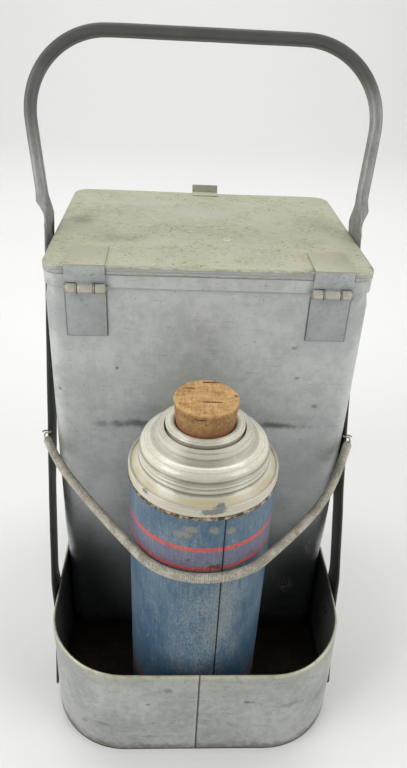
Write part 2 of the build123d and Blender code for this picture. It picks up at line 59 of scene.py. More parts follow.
def addCamera():
    yaw, pitch, roll = studio["yaw"], studio["pitch"], studio["roll"]
    ahead = Vector((math.sin(yaw) * math.cos(pitch), math.cos(yaw) * math.cos(pitch), -math.sin(pitch)))
    level = Vector((math.cos(yaw), -math.sin(yaw), 0))
    upright = level.cross(ahead)
    right = level * math.cos(roll) + upright * math.sin(roll)
    up = upright * math.cos(roll) - level * math.sin(roll)
    bpy.ops.object.camera_add()
    camera = bpy.context.object
    turn = Matrix((right, up, -ahead)).transposed().to_4x4()
    camera.matrix_world = Matrix.Translation(studio["place"]) @ turn
    camera.data.sensor_width = 36
    camera.data.lens = studio["lens"]
    camera.data.clip_start = 0.01
    bpy.context.scene.camera = camera


def addLight(name, place, target, reach, power):
    bpy.ops.object.light_add(type="AREA", location=place)
    lamp = bpy.context.object
    lamp.name = name
    lamp.data.shape = "RECTANGLE"
    lamp.data.size, lamp.data.size_y = reach
    lamp.data.energy = power
    lamp.rotation_mode = "QUATERNION"
    lamp.rotation_quaternion = (Vector(target) - Vector(place)).to_track_quat("-Z", "Y")


addCamera()
for name, values in studio["lamps"].items():
    addLight(name, *values)
bpy.context.scene.view_settings.view_transform = "Standard"


# small helpers
def alone(piece):
    bpy.ops.object.select_all(action="DESELECT")
    piece.select_set(True)
    bpy.context.view_layer.objects.active = piece


def edit(piece):
    alone(piece)
    bpy.ops.object.mode_set(mode="EDIT")


def begin(name, primitive, stretch=(1, 1, 1), **settings):
    # adds a primitive with nothing else selected, and puts its place into its mesh
    bpy.ops.object.select_all(action="DESELECT")
    primitive(**settings)
    piece = bpy.context.object
    piece.scale = stretch
    piece.name = piece.data.name = name
    bpy.ops.object.transform_apply(location=True, rotation=True, scale=True)
    return piece


def pick(piece, test, kind="FACE"):
    # in edit mode: selects what passes the test on its middle and its direction
    bpy.ops.mesh.select_mode(type=kind)
    bpy.ops.mesh.select_all(action="DESELECT")
    form = bmesh.from_edit_mesh(piece.data)
    if kind == "FACE":
        found = [f for f in form.faces if test(f.calc_center_median(), f.normal)]
    elif kind == "EDGE":
        ends = [(e, e.verts[0].co, e.verts[1].co) for e in form.edges]
        found = [e for e, a, b in ends if test((a + b) / 2, b - a)]
    else:
        found = [v for v in form.verts if test(v.co, v.normal)]
    for part in found:
        part.select_set(True)
    bmesh.update_edit_mesh(piece.data)


def pickAll(action="SELECT"):
    bpy.ops.mesh.select_mode(type="EDGE")
    bpy.ops.mesh.select_all(action=action)


def pickOpen():
    # the open ends of a wall
    pickAll("DESELECT")
    bpy.ops.mesh.select_non_manifold(extend=False)


def done(piece, angle):
    # normals outwards, doubles merged, smooth except at real edges
    bpy.ops.mesh.select_all(action="SELECT")
    bpy.ops.mesh.remove_doubles(threshold=1e-6)
    bpy.ops.mesh.normals_make_consistent(inside=False)
    bpy.ops.object.mode_set(mode="OBJECT")
    bpy.ops.object.shade_smooth_by_angle(angle=math.radians(angle))


def modify(piece, kind, **settings):
    alone(piece)
    change = piece.modifiers.new(kind.lower(), kind)
    for key, value in settings.items():
        setattr(change, key, value)
    bpy.ops.object.modifier_apply(modifier=change.name)


def pull(profile, middle):
    # extrudes the selected loop along a profile of (width factor, depth factor, height)
    for (wide, deep, high), (nextWide, nextDeep, nextHigh) in zip(profile, profile[1:]):
        bpy.ops.mesh.extrude_region_move(TRANSFORM_OT_translate={"value": (0, 0, nextHigh - high)})
        bpy.ops.transform.resize(value=(nextWide / wide, nextDeep / deep, 1), center_override=middle)


def softened(points, radius, steps=3):
    # a profile with its inner corners rounded
    path = [points[0]]
    for before, corner, after in zip(points, points[1:], points[2:]):
        a, c, b = Vector(before), Vector(corner), Vector(after)
        cut = min(radius, (a - c).length * 0.45, (b - c).length * 0.45)
        start, end = c + (a - c).normalized() * cut, c + (b - c).normalized() * cut
        for t in climb(0, 1, steps):
            path.append(tuple(start * (1 - t) ** 2 + c * 2 * t * (1 - t) + end * t * t))
    return path + [points[-1]]


def climb(low, high, count):
    return [low + (high - low) * n / count for n in range(count + 1)]


def bezier(a, b, c, d, t):
    return a * (1 - t) ** 3 + b * 3 * t * (1 - t) ** 2 + c * 3 * t * t * (1 - t) + d * t**3


def share(value, low, high):
    # 0 at low to 1 at high
    return min(1.0, max(0.0, (value - low) / (high - low)))


def eased(value, low, high):
    t = share(value, low, high)
    return t * t * (3 - 2 * t)


def ripple(x, y, z, reach, seed):
    return noise.noise(Vector((x / reach + seed, y / reach - seed, z / reach + seed * 0.5)))


def lumps(rows, x, y):
    # humps and hollows: height, place, reach, and the tilt and the bow of a long one
    total = 0.0
    for height, atX, atY, wide, high, tilt, bow in rows:
        x0 = x - atX
        y0 = y - atY - tilt * x0 - bow * x0 * x0
        total += height * math.exp(-((x0 / wide) ** 2 + (y0 / high) ** 2))
    return total


def shift(piece, field):
    # moves each vertex by a field of its place
    for vertex in piece.data.vertices:
        vertex.co += Vector(field(vertex.co))
    piece.data.update()


def coat(piece, material):
    if not piece.material_slots:
        piece.data.materials.append(material)
    for slot in piece.material_slots:
        slot.material = material


def settle(piece, paint, body, node):
    coat(piece, paints[paint])
    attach(piece, body)
    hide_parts(node)


# sizes that a piece and its paint share
tray = dict(
    reach=(-0.0899, 0.0899, -0.0905, 0.1479), frontR=0.0465, backR=0.0109, low=0.001, high=0.073, sheet=0.001,
    hem=0.0046, seam=0.0004, seamDepth=0.00035, lapX=0.0003,
    dents=((-0.0005, -0.0177, 0.059, 0.004, 0.004, 0, 0), (-0.0007, 0.030, 0.047, 0.012, 0.009, 0, 0)),
    rimDent=((-0.0017, 0.080, -0.066, 0.022, 0.030, 0, 0),))
lid = dict(reach=(-0.089, 0.089, 0.0, 0.147), radius=0.010, top=0.284, skirt=0.279, sheet=0.0008, edge=0.0013,
           crown=((0.0008, 0, 0.07, 0.06, 0.05, 0, 0),), cornerRise=0.0016)
bottle = dict(x=-0.0013, y=-0.0436, radius=0.0399, seam=math.radians(-75.1), sheet=0.0005, bead=0.1868, foot=0.0032,
              beadR=0.0012, seamWide=0.00045, seamDepth=0.0004)
shoulder = dict(flangeR=0.0403, low=0.1880, flangeTop=0.1938, threadR=0.0346, threadLow=0.1975, threadTop=0.2046,
                domeTop=0.2098, collarR=0.0253, collarTop=0.2156, ringR=0.0210)
cork = dict(low=0.2038, lowR=0.0140, neck=0.2188, neckR=0.01555, top=0.2331, topR=0.0170,
            cracks=((-0.0007, 0.0029, -0.0054, 0.0060, 0.00035, 0, 0), (-0.0006, -0.0085, 0.0076, 0.0030, 0.0004, 0, 0),
                    (-0.0005, 0.0025, 0.0136, 0.0052, 0.00035, 0, 0)))


# materials
def tone(red, green, blue):
    # a colour as it looks on the screen, made linear
    return tuple(((v / 255 + 0.055) / 1.055) ** 2.4 if v > 10 else v / 255 / 12.92 for v in (red, green, blue))


class Signal:  # a node's socket, with arithmetic
    def __init__(self, paint, socket):
        self.paint, self.socket = paint, socket

    def made(self, operation, first, second):
        return self.paint.node("ShaderNodeMath", {"operation": operation}, {0: first, 1: second})

    def __add__(self, other):
        return self.made("ADD", self, other)

    def __sub__(self, other):
        return self.made("SUBTRACT", self, other)

    def __mul__(self, other):
        return self.made("MULTIPLY", self, other)

    def __truediv__(self, other):
        return self.made("DIVIDE", self, other)

    def __rsub__(self, other):
        return self.made("SUBTRACT", other, self)

    def __pow__(self, other):
        return self.made("POWER", self, other)

    def __or__(self, other):
        return self.made("MAXIMUM", self, other)

    __radd__, __rmul__ = __add__, __mul__

    def size(self):
        # how far it is from 0
        return (self * self) ** 0.5

    def ease(self, low, high):
        # 0 at low to 1 at high, smoothly
        return self.paint.node("ShaderNodeMapRange", {"interpolation_type": "SMOOTHSTEP"}, {
            "Value": self, "From Min": low, "From Max": high})


class Paint:  # one material, painted in layers
    def __init__(self, name):
        self.material = bpy.data.materials.new(name)
        self.material.use_nodes = True
        self.tree = self.material.node_tree
        self.shader = self.tree.nodes["Principled BSDF"]
        self.readPlace("Object")

    def readPlace(self, kind):
        self.spot = self.node("ShaderNodeTexCoord", out=kind)
        split = self.node("ShaderNodeSeparateXYZ", {}, {0: self.spot})
        self.x, self.y, self.z = (Signal(self, out) for out in split.socket.node.outputs)

    def node(self, kind, settings=None, inputs=None, out=0):
        made = self.tree.nodes.new(kind)
        for key, value in (settings or {}).items():
            setattr(made, key, value)
        for key, value in (inputs or {}).items():
            if isinstance(value, Signal):
                self.tree.links.new(value.socket, made.inputs[key])
            elif isinstance(value, tuple) and made.inputs[key].type == "RGBA":
                made.inputs[key].default_value = (*value, 1)
            else:
                made.inputs[key].default_value = value
        return Signal(self, made.outputs[out])

    def scaled(self, reach, stretch, seed):
        scale = tuple(1 / (reach * s) for s in stretch)
        return self.node("ShaderNodeMapping", {}, {"Vector": self.spot, "Location": (seed,) * 3, "Scale": scale})

    def grain(self, reach, detail, rough, stretch=(1, 1, 1), seed=0.0, warp=0.0):
        return self.node("ShaderNodeTexNoise", {}, {
            "Vector": self.scaled(reach, stretch, seed), "Scale": 1.0, "Detail": detail, "Roughness": rough,
            "Distortion": warp})

    def cells(self, reach, stretch, seed):
        return self.node("ShaderNodeTexVoronoi", {}, {"Vector": self.scaled(reach, stretch, seed), "Scale": 1.0},
                         "Distance")

    def rings(self, place, detail, rough):
        # grain along one line only
        return self.node("ShaderNodeTexNoise", {"noise_dimensions": "1D"}, {
            "W": place, "Scale": 1.0, "Detail": detail, "Roughness": rough})

    def spotAt(self, centre, reach, soft, wobble=None):
        # 1 inside an egg round a place, 0 outside it
        away = self.node("ShaderNodeVectorMath", {"operation": "SUBTRACT"}, {0: self.spot, 1: centre})
        away = self.node("ShaderNodeVectorMath", {"operation": "MULTIPLY"}, {0: away, 1: tuple(1 / s for s in reach)})
        far = self.node("ShaderNodeVectorMath", {"operation": "LENGTH"}, {0: away}, "Value")
        return (far if wobble is None else far + wobble).ease(1.0, 1.0 - soft)

    def marks(self, soft, wobble, *rows):
        # spots on an upright face in one mask: x, y, z, half width, half height and strength
        mask = None
        for x, y, z, wide, high, strength in rows:
            each = self.spotAt((x, y, z), (wide, 0.02, high), soft, wobble) * strength
            mask = each if mask is None else mask | each
        return mask

    def mix(self, factor, first, second):
        return self.node("ShaderNodeMix", {"data_type": "RGBA"}, {0: factor, 6: first, 7: second}, 2)

    def base(self, mask, dark, light):
        self.colour = self.mix(mask, tone(*dark), tone(*light))

    def lay(self, mask, *shade):
        # a new layer over what is there
        self.colour = self.mix(mask, self.colour, tone(*shade))

    def choose(self, value, *stops):
        picked = self.node("ShaderNodeValToRGB", {}, {0: value})
        ramp = picked.socket.node.color_ramp.elements
        while len(ramp) < len(stops):
            ramp.new(0.5)
        for stop, (position, shade) in zip(ramp, stops):
            stop.position, stop.color = position, (*tone(*shade), 1)
        return picked

    def wear(self, rough, height, depth, strength, metal=None):
        bump = self.node("ShaderNodeBump", {}, {"Strength": strength, "Distance": depth, "Height": height})
        ends = {"Base Color": self.colour, "Roughness": rough, "Metallic": metal, "Normal": bump}
        for label, signal in ends.items():
            if signal is not None:
                self.tree.links.new(signal.socket, self.shader.inputs[label])
        return self.material


class Room(Paint):  # the light from all round, by its direction
    def __init__(self, name):
        self.world = bpy.data.worlds.new(name)
        self.world.use_nodes = True
        self.tree = self.world.node_tree
        self.readPlace("Generated")


def zinc(name, light, dark, grime, seed):
    # dull galvanised sheet: clouds, fine scratches and dirt
    paint = Paint(name)
    cloud = paint.grain(0.040, 5, 0.62, seed=seed)
    fine = paint.grain(0.005, 4, 0.62, seed=seed + 3)
    scratch = paint.grain(0.0013, 3, 0.6, (14, 14, 1), seed + 5)
    speck = paint.grain(0.0016, 2, 0.5, (1.5, 1.5, 1), seed + 7)
    paint.base((cloud * 0.6 + fine * 0.4).ease(0.38, 0.62), dark, light)
    paint.lay(scratch.ease(0.60, 0.75) * 0.30, *light)
    paint.lay(scratch.ease(0.40, 0.28) * 0.22, *grime)
    paint.lay(speck.ease(0.67, 0.76) * 0.55, *grime)
    rough = 0.50 + (cloud - 0.5) * 0.20 + (fine - 0.5) * 0.14
    height = fine * 0.4 + scratch * 0.15 + cloud * 0.6
    return paint, cloud, fine, rough, height


def leafShadeLine(paint, leaf):
    # painted shade: the dark line round a hinge leaf, left and right alike, on the sheet that it lies on
    low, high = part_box(leaf)
    middle, half = (low[0] + high[0]) / 2, (high[0] - low[0]) / 2
    edge = ((paint.x.size() - middle).size() - half) | (low[2] - paint.z)
    return edge.ease(0.0011, 0.0003) * paint.z.ease(high[2] - 0.0010, high[2] - 0.0030)


def boxPaint():
    paint, cloud, fine, rough, height = zinc("wornBoxZinc", (184, 188, 186), (165, 169, 168), (92, 92, 88), 1.0)
    front, face = paint.y.ease(0.012, 0.004), 0.002
    wave = (fine - 0.5) * 0.9 + (cloud - 0.5) * 0.7
    # dark marks: the first three lie along the crease, painted shade in it, and the rest are small dark smudges
    creaseShadeAndSmudges = paint.marks(
        0.8, wave,
        (-0.0360, face, 0.1830, 0.0360, 0.0042, 0.75), (0.0450, face, 0.1830, 0.0240, 0.0036, 0.80),
        (-0.0100, face, 0.1860, 0.0200, 0.0030, 0.35), (-0.0505, face, 0.2220, 0.0016, 0.0016, 0.80),
        (-0.0837, face, 0.2072, 0.0018, 0.0016, 0.70), (0.0495, face, 0.2376, 0.0030, 0.0020, 0.50),
        (0.0536, face, 0.2179, 0.0022, 0.0016, 0.60), (0.0661, face, 0.1987, 0.0024, 0.0018, 0.60))
    paint.lay(creaseShadeAndSmudges, 70, 71, 68)
    # pale rubbed dabs under the lid, and a few at the left
    dab = paint.grain(0.0062, 3, 0.5, (0.8, 1, 1.3), 29).ease(0.60, 0.70)
    near = paint.spotAt((0.004, face, 0.247), (0.062, 0.03, 0.026), 0.9)
    near = near | (paint.spotAt((-0.062, face, 0.190), (0.022, 0.03, 0.016), 0.9) * 0.6)
    paint.lay(dab * near * front * 0.42, 196, 199, 194)
    flow = paint.grain(0.0022, 3, 0.6, (1, 1, 14), 35).ease(0.56, 0.74) * front
    paint.lay(flow * 0.16, 120, 124, 123)
    streak = paint.grain(0.0012, 3, 0.7, (1, 1, 3), 9)
    pale = paint.marks(0.8, wave * 0.6,
                       (0.066, face, 0.044, 0.008, 0.011, 1.0), (0.078, face, 0.083, 0.005, 0.011, 0.7))
    # painted shade: lower down the front is painted darker, standing in for shade and the dark reflection of the tray
    # and bottle, with some grime
    inside = (paint.z + (cloud - 0.5) * 0.02).ease(0.125, 0.062) * front
    paint.lay(inside * 0.45, 62, 65, 64)
    paint.lay(pale * streak.ease(0.46, 0.53) * 0.9, 222, 216, 196)
    paint.lay((paint.z + (fine - 0.5) * 0.01).ease(0.018, 0.004) * front * 0.7, 40, 32, 24)
    # the rounded corners are painted lighter above the tray, a painted highlight; a painted shade line lies round the
    # hinge leaves, and a patchy dark line under the rim band
    corner = paint.x.size().ease(0.0795, 0.0870) * paint.z.ease(0.05, 0.09)
    paint.lay(corner * (cloud + fine * 0.5).ease(0.60, 0.80) * 0.55, 198, 200, 194)
    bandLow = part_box("box_rim_band")[0][2]
    under = (paint.z - bandLow + 0.0004).size().ease(0.0009, 0.0003)
    leafShadeAndBandLine = (leafShadeLine(paint, "right_hinge_box_leaf") * front) | (under * fine.ease(0.40, 0.60) * 0.35)
    paint.lay(leafShadeAndBandLine * 0.75, 72, 70, 62)
    return paint.wear(rough - inside * 0.06, height, 0.00022, 0.5, 0.42 - 0.2 * creaseShadeAndSmudges)


def trayPaint():
    paint, cloud, fine, rough, height = zinc("wornTrayZinc", (180, 182, 177), (152, 155, 151), (88, 86, 76), 4.0)
    wave, front, lapX = (fine - 0.5) * 0.9, tray["reach"][2], tray["lapX"]
    marks = paint.marks(
        0.7, wave,
        (-0.0177, front, 0.0590, 0.0034, 0.0034, 0.55), (-0.0294, front, 0.0464, 0.0022, 0.0013, 0.70),
        (-0.0566, front, 0.0244, 0.0060, 0.0022, 0.45), (0.0301, front, 0.0470, 0.0045, 0.0020, 0.70),
        (0.0560, front, 0.0430, 0.0120, 0.0028, 0.30), (-0.0282, front, 0.0135, 0.0080, 0.0020, 0.35),
        (0.0760, -0.070, 0.0350, 0.0100, 0.0070, 0.30), (-0.0780, -0.066, 0.0450, 0.0016, 0.0120, 0.30))
    marks = marks | (paint.spotAt((-0.069, front, 0.0193), (0.003, 0.03, 0.0025), 0.7, wave) * 0.45)
    paint.lay(marks, 96, 96, 90)
    paint.lay(paint.grain(0.0030, 3, 0.6, (7, 7, 1), 12).ease(0.56, 0.72) * 0.32, 142, 144, 138)
    paint.lay(paint.grain(0.0046, 4, 0.7, (1.6, 1.6, 1), 18).ease(0.56, 0.70) * 0.34, 122, 122, 112)
    paint.lay(paint.grain(0.0026, 3, 0.6, (1, 1, 9), 14).ease(0.60, 0.74) * 0.25, 150, 150, 140)
    # a pale rim with old stains under it, and the foot painted darker
    paint.lay((paint.z + (fine - 0.5) * 0.003).ease(0.0695, 0.0722) * 0.65, 192, 188, 160)
    stain = (paint.z + (fine - 0.5) * 0.016 + (cloud - 0.5) * 0.02).ease(0.062, 0.070)
    paint.lay(stain * fine.ease(0.45, 0.65) * 0.5, 134, 130, 104)
    paint.lay((paint.z + (fine - 0.5) * 0.010).ease(0.008, 0.001) * 0.75, 104, 102, 86)
    # the lap down the middle of the front: a painted highlight beside it, and a dark line in it
    ahead = paint.y.ease(front + 0.004, front + 0.002)
    paint.lay((paint.x - lapX + 0.0013).size().ease(0.0008, 0.0003) * ahead * 0.15, 206, 206, 198)
    paint.lay((paint.x - lapX + (fine - 0.5) * 0.0006).size().ease(0.0007, 0.0003) * ahead * 0.85, 62, 60, 52)
    # painted shade: the inside face of the wall is painted dark, and is made duller
    inside = paint.node("ShaderNodeAttribute", {"attribute_name": "inside"}, {}, "Fac").ease(0.4, 0.6)
    paint.lay(inside * 0.9, 92, 92, 86)
    return paint.wear(rough + inside * 0.12, height, 0.0003, 0.5, 0.55 - inside * 0.3 - marks * 0.2)


def floorPaint():
    paint = Paint("dirtyTrayFloor")
    cloud, fine = paint.grain(0.03, 5, 0.65, seed=2), paint.grain(0.004, 4, 0.65, seed=5)
    paint.colour = paint.choose(
        cloud * 0.6 + fine * 0.4, (0.3, (30, 24, 19)), (0.5, (52, 40, 30)), (0.68, (84, 62, 42)))
    return paint.wear(0.62 + fine * 0.2, fine + cloud, 0.0004, 0.6, 0.25 + cloud * 0.1)


def lidPaint():
    paint, cloud, fine, rough, height = zinc("wornLidZinc", (180, 183, 176), (154, 157, 150), (84, 78, 64), 7.0)
    high = lid["top"]
    top = paint.z.ease(high - 0.0014, high - 0.0006)
    stain = paint.grain(0.026, 5, 0.7, seed=21)
    paint.lay(top * 0.70, 168, 166, 142)
    paint.lay((stain * 0.7 + fine * 0.3).ease(0.42, 0.66) * top * 0.55, 148, 143, 108)
    paint.lay(paint.grain(0.0042, 4, 0.72, (1.7, 1, 1), 25).ease(0.56, 0.74) * top * 0.60, 112, 100, 74)
    dust = paint.grain(0.0011, 2, 0.6, (1.9, 1.1, 1), 27).ease(0.60, 0.70)
    busy = top * (0.35 + stain.ease(0.40, 0.58) * 0.65)
    paint.lay(dust * busy * 0.85, 80, 72, 54)
    paint.lay(paint.grain(0.0014, 2, 0.6, (1.9, 1.1, 1), 28).ease(0.62, 0.72) * busy * 0.55, 208, 207, 192)
    dots = (paint.cells(0.0052, (1, 1, 1), 3) + (fine - 0.5) * 0.42).ease(0.13, 0.05) * top
    paint.lay(dots * busy * 0.9, 56, 44, 32)
    # old stains, a lone spot at the back, a clean patch in the middle, a pale ring and an ochre run
    rippled, ragged, broad = (fine - 0.5) * 0.9, (fine - 0.5) * 1.8, (cloud - 0.5) * 0.8
    blot = paint.spotAt((-0.0765, 0.076, high), (0.013, 0.015, 0.01), 0.95, rippled) * 0.7
    blot = blot | paint.spotAt((0.0693, 0.1302, high), (0.0022, 0.002, 0.01), 0.7)
    blot = blot | (paint.spotAt((-0.052, 0.043, high), (0.024, 0.012, 0.01), 0.95, ragged) * 0.45)
    blot = blot | (paint.spotAt((0.074, 0.085, high), (0.018, 0.022, 0.01), 0.95, rippled) * 0.35)
    paint.lay(blot * 0.6, 84, 80, 66)
    clean = paint.spotAt((0.000, 0.098, high), (0.060, 0.020, 0.01), 0.95, broad)
    clean = clean | paint.spotAt((-0.050, 0.115, high), (0.040, 0.012, 0.01), 0.95, broad)
    paint.lay(clean * 0.34, 172, 176, 172)
    ringX, ringY = paint.x - 0.0113, paint.y - 0.0452
    far = (ringX * ringX + ringY * ringY) ** 0.5
    paint.lay((far - 0.0018).size().ease(0.0006, 0.0003) * top * 0.6, 208, 206, 190)
    run = paint.spotAt((0.0515, 0.020, high), (0.0010, 0.012, 0.01), 0.8, (fine - 0.5) * 1.4)
    paint.lay(run * 0.55, 176, 150, 84)
    # worn edges all round, a bright and a dirty line where the top turns down, and a scratched skirt
    edge = paint.x.size().ease(0.0862, 0.0886) | (paint.y - 0.0735).size().ease(0.0709, 0.0731)
    paint.lay(edge * (cloud + fine * 0.5).ease(0.55, 0.85) * 0.45, 126, 124, 110)
    turn = (paint.z - high + 0.0007).size().ease(0.0006, 0.0002) * fine.ease(0.42, 0.60)
    paint.lay(turn * 0.5, 214, 214, 200)
    skirt = paint.z.ease(high - 0.0013, high - 0.0020)
    paint.lay(skirt * fine.ease(0.36, 0.60) * 0.75, 170, 175, 174)
    line = (paint.z - high + 0.0027 + (cloud - 0.5) * 0.004).size().ease(0.0005, 0.0002)
    paint.lay(line * fine.ease(0.40, 0.55) * skirt * 0.35, 84, 82, 74)
    # painted shade line round the hinge leaf on the lid
    leaf = "right_hinge_lid_leaf"
    paint.lay(leafShadeLine(paint, leaf) * paint.y.ease(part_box(leaf)[1][1], 0.020) * 0.55, 84, 76, 56)
    return paint.wear(rough + top * 0.08, height - dots * 0.8 - dust * 0.3, 0.00035, 0.6, 0.50 - dots * 0.3)


def handlePaint():
    paint = Paint("dullStripSteel")
    cloud, fine = paint.grain(0.024, 5, 0.62, seed=11), paint.grain(0.0026, 4, 0.6, seed=13)
    # the upper bar and the straps below the lid are painted dark, painted shade and dark reflection, and the bar's left
    # corner is painted darker too
    bar = paint.z.ease(0.350, 0.372)
    upright, level = paint.grain(0.0011, 3, 0.6, (1, 6, 12), 15), paint.grain(0.0011, 3, 0.6, (14, 1, 1), 16)
    streak = upright + (level - upright) * bar
    paint.base((cloud * 0.5 + fine * 0.25 + streak * 0.25).ease(0.38, 0.62), (122, 124, 120), (148, 150, 145))
    paint.lay(streak.ease(0.60, 0.74) * 0.35, 172, 174, 168)
    paint.lay(paint.grain(0.0030, 3, 0.6, seed=17).ease(0.62, 0.74) * 0.45, 80, 78, 70)
    corner = paint.x.ease(-0.02, -0.095) * paint.z.ease(0.315, 0.350)
    # painted dark reflection on the upper bar, and a darker left corner
    paint.lay((bar * 0.88) | (corner * 0.72), 72, 73, 67)
    # painted shade on the straps below the lid
    paint.lay((paint.z + (cloud - 0.5) * 0.03).ease(0.262, 0.235) * 0.72, 52, 53, 52)
    # a dark patch on the left strap's inner face beside the lid's edge: painted shadow of the lid, with a dark stain
    lidShadowAndStain = paint.spotAt((-0.0934, 0.071, 0.279), (0.0030, 0.0085, 0.0095), 0.35, (fine - 0.5) * 0.8)
    paint.lay(lidShadowAndStain * 0.95, 34, 31, 26)
    height = fine * 0.5 + cloud + streak * 0.3
    return paint.wear(0.52 + fine * 0.16 + lidShadowAndStain * 0.3, height, 0.0003, 0.5, 0.6 - lidShadowAndStain * 0.5)


def hardwarePaint():
    paint = Paint("wornHingeZinc")
    cloud, fine = paint.grain(0.010, 4, 0.6, seed=31), paint.grain(0.0020, 4, 0.6, seed=33)
    paint.base((cloud * 0.6 + fine * 0.4).ease(0.38, 0.62), (150, 155, 155), (172, 176, 174))
    high = lid["top"]
    top = paint.z.ease(high - 0.0002, high + 0.0006)
    paint.lay(top * 0.92, 160, 158, 136)
    paint.lay(paint.z.ease(0.2700, 0.2690) * 0.5, 148, 153, 154)
    barrel = paint.y.ease(-0.0010, -0.0024)
    paint.lay(barrel * 0.7, 188, 182, 165)
    # the gaps between the knuckles and at the barrel's ends
    low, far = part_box("right_hinge_pin")
    beside = (paint.x.size() - (low[0] + far[0]) / 2).size()
    joint = (beside - 0.0046).size().ease(0.0005, 0.0002) | (beside.ease(0.0098, 0.0106) * 0.5)
    paint.lay(joint * barrel * 0.85, 48, 42, 32)
    paint.lay(paint.grain(0.0024, 3, 0.6, (1.6, 1, 1), 37).ease(0.62, 0.73) * 0.5, 96, 90, 74)
    paint.lay(paint.grain(0.0011, 2, 0.6, (1.9, 1.1, 1), 27).ease(0.64, 0.74) * top * 0.5, 96, 88, 70)
    ochre = paint.spotAt((0.0672, 0.028, high + 0.001), (0.0024, 0.0046, 0.01), 0.75, (fine - 0.5) * 1.2)
    paint.lay(ochre * 0.75, 200, 162, 88)
    height = fine * 0.6 + cloud * 0.4 - joint * barrel
    return paint.wear(0.44 + fine * 0.14, height, 0.0003, 0.5, 0.45 + barrel * 0.15)


def springPaint():
    paint = Paint("springSteel")
    cloud, fine = paint.grain(0.010, 4, 0.6, seed=41), paint.grain(0.0012, 3, 0.6, seed=43)
    paint.base((cloud * 0.5 + fine * 0.5).ease(0.40, 0.60), (148, 143, 128), (190, 185, 170))
    paint.lay(paint.grain(0.0048, 4, 0.7, seed=45).ease(0.58, 0.68) * 0.55, 92, 76, 56)
    return paint.wear(0.42 + fine * 0.12, fine, 0.0001, 0.4)


def casingPaint():
    paint = Paint("wornBlueEnamel")
    turnX, turnY = paint.x - bottle["x"], paint.y - bottle["y"]
    streak = paint.grain(0.0011, 4, 0.7, (1, 1, 14), 51)
    cloud = paint.grain(0.020, 5, 0.65, (1, 1, 1.8), 53)
    fine = paint.grain(0.0010, 3, 0.7, (1, 1, 1.7), 55)
    paint.base((cloud * 0.5 + streak * 0.3 + fine * 0.2).ease(0.38, 0.62), (54, 86, 112), (96, 118, 132))
    paint.lay((paint.z + (cloud - 0.5) * 0.04).ease(0.13, 0.06) * 0.42, 46, 88, 120)
    # bands: two red lines with a purple-grey field between them, and a third line near the foot
    level = paint.z + ((cloud - 0.5) * 0.0008 + (fine - 0.5) * 0.0007)
    paint.lay(level.ease(0.1515, 0.1523) * level.ease(0.1660, 0.1652) * 0.7, 104, 98, 122)
    for high, half in ((0.1656, 0.0014), (0.1521, 0.0011), (0.0405, 0.0016)):
        paint.lay((level - high).size().ease(half * 1.25, half * 0.75) * 0.90, 196, 66, 56)
    # paint rubbed through along the streaks, most in the middle of the front
    rubbed = paint.spotAt((0.004, -0.082, 0.100), (0.028, 0.03, 0.085), 0.95)
    worn = (streak * 0.22 + fine * 0.50 + cloud * 0.28 + rubbed * 0.10).ease(0.50, 0.66)
    paint.lay(worn * 0.62, 148, 152, 144)
    paint.lay(paint.grain(0.0024, 4, 0.7, seed=63).ease(0.46, 0.64) * 0.22, 60, 74, 84)
    # scrapes to bare metal, and rust: two places on the second line, and small ones everywhere
    scrape = (fine - 0.5) * 2.6 + (streak - 0.5) * 2.0
    bare = paint.marks(
        0.35, scrape,
        (-0.0118, -0.083, 0.1752, 0.0044, 0.0026, 1), (-0.0084, -0.083, 0.1792, 0.0040, 0.0024, 1),
        (0.0040, -0.083, 0.1790, 0.0030, 0.0024, 1), (0.0126, -0.081, 0.1772, 0.0024, 0.0022, 1))
    bare = bare | (paint.grain(0.0036, 3, 0.65, (1, 1, 1.6), 57).ease(0.66, 0.71) * 0.7)
    paint.lay(bare * 0.66, 142, 136, 114)
    rust = paint.grain(0.0026, 3, 0.65, seed=59).ease(0.65, 0.70) | paint.marks(
        0.3, scrape, (0.0050, -0.083, 0.1535, 0.0036, 0.0022, 1), (-0.0090, -0.083, 0.1580, 0.0012, 0.0014, 1))
    paint.lay(rust * 0.8, 88, 46, 32)
    # the bead at the top and the lap down the front
    bead = paint.z.ease(bottle["bead"] - 0.0016, bottle["bead"] - 0.0010)
    dirty = paint.choose(paint.grain(0.0032, 3, 0.6, seed=61), (0.46, (60, 44, 30)), (0.66, (176, 164, 132)))
    paint.colour = paint.mix(bead, paint.colour, dirty)
    sine, cosine = math.sin(bottle["seam"]), math.cos(bottle["seam"])
    across = turnX * -sine + turnY * cosine
    ahead = (turnX * cosine + turnY * sine).ease(0.03, 0.035)
    paint.lay((across + 0.0036).size().ease(0.0005, 0.0002) * ahead * 0.25, 60, 78, 96)
    paint.lay(across.size().ease(0.00062, 0.00028) * ahead * (1 - bead), 22, 24, 28)
    height = fine * 0.5 + streak * 0.4 - bare * 0.6
    return paint.wear(0.46 + worn * 0.2 + bare * 0.1, height, 0.00015, 0.5, 0.12 + worn * 0.25)


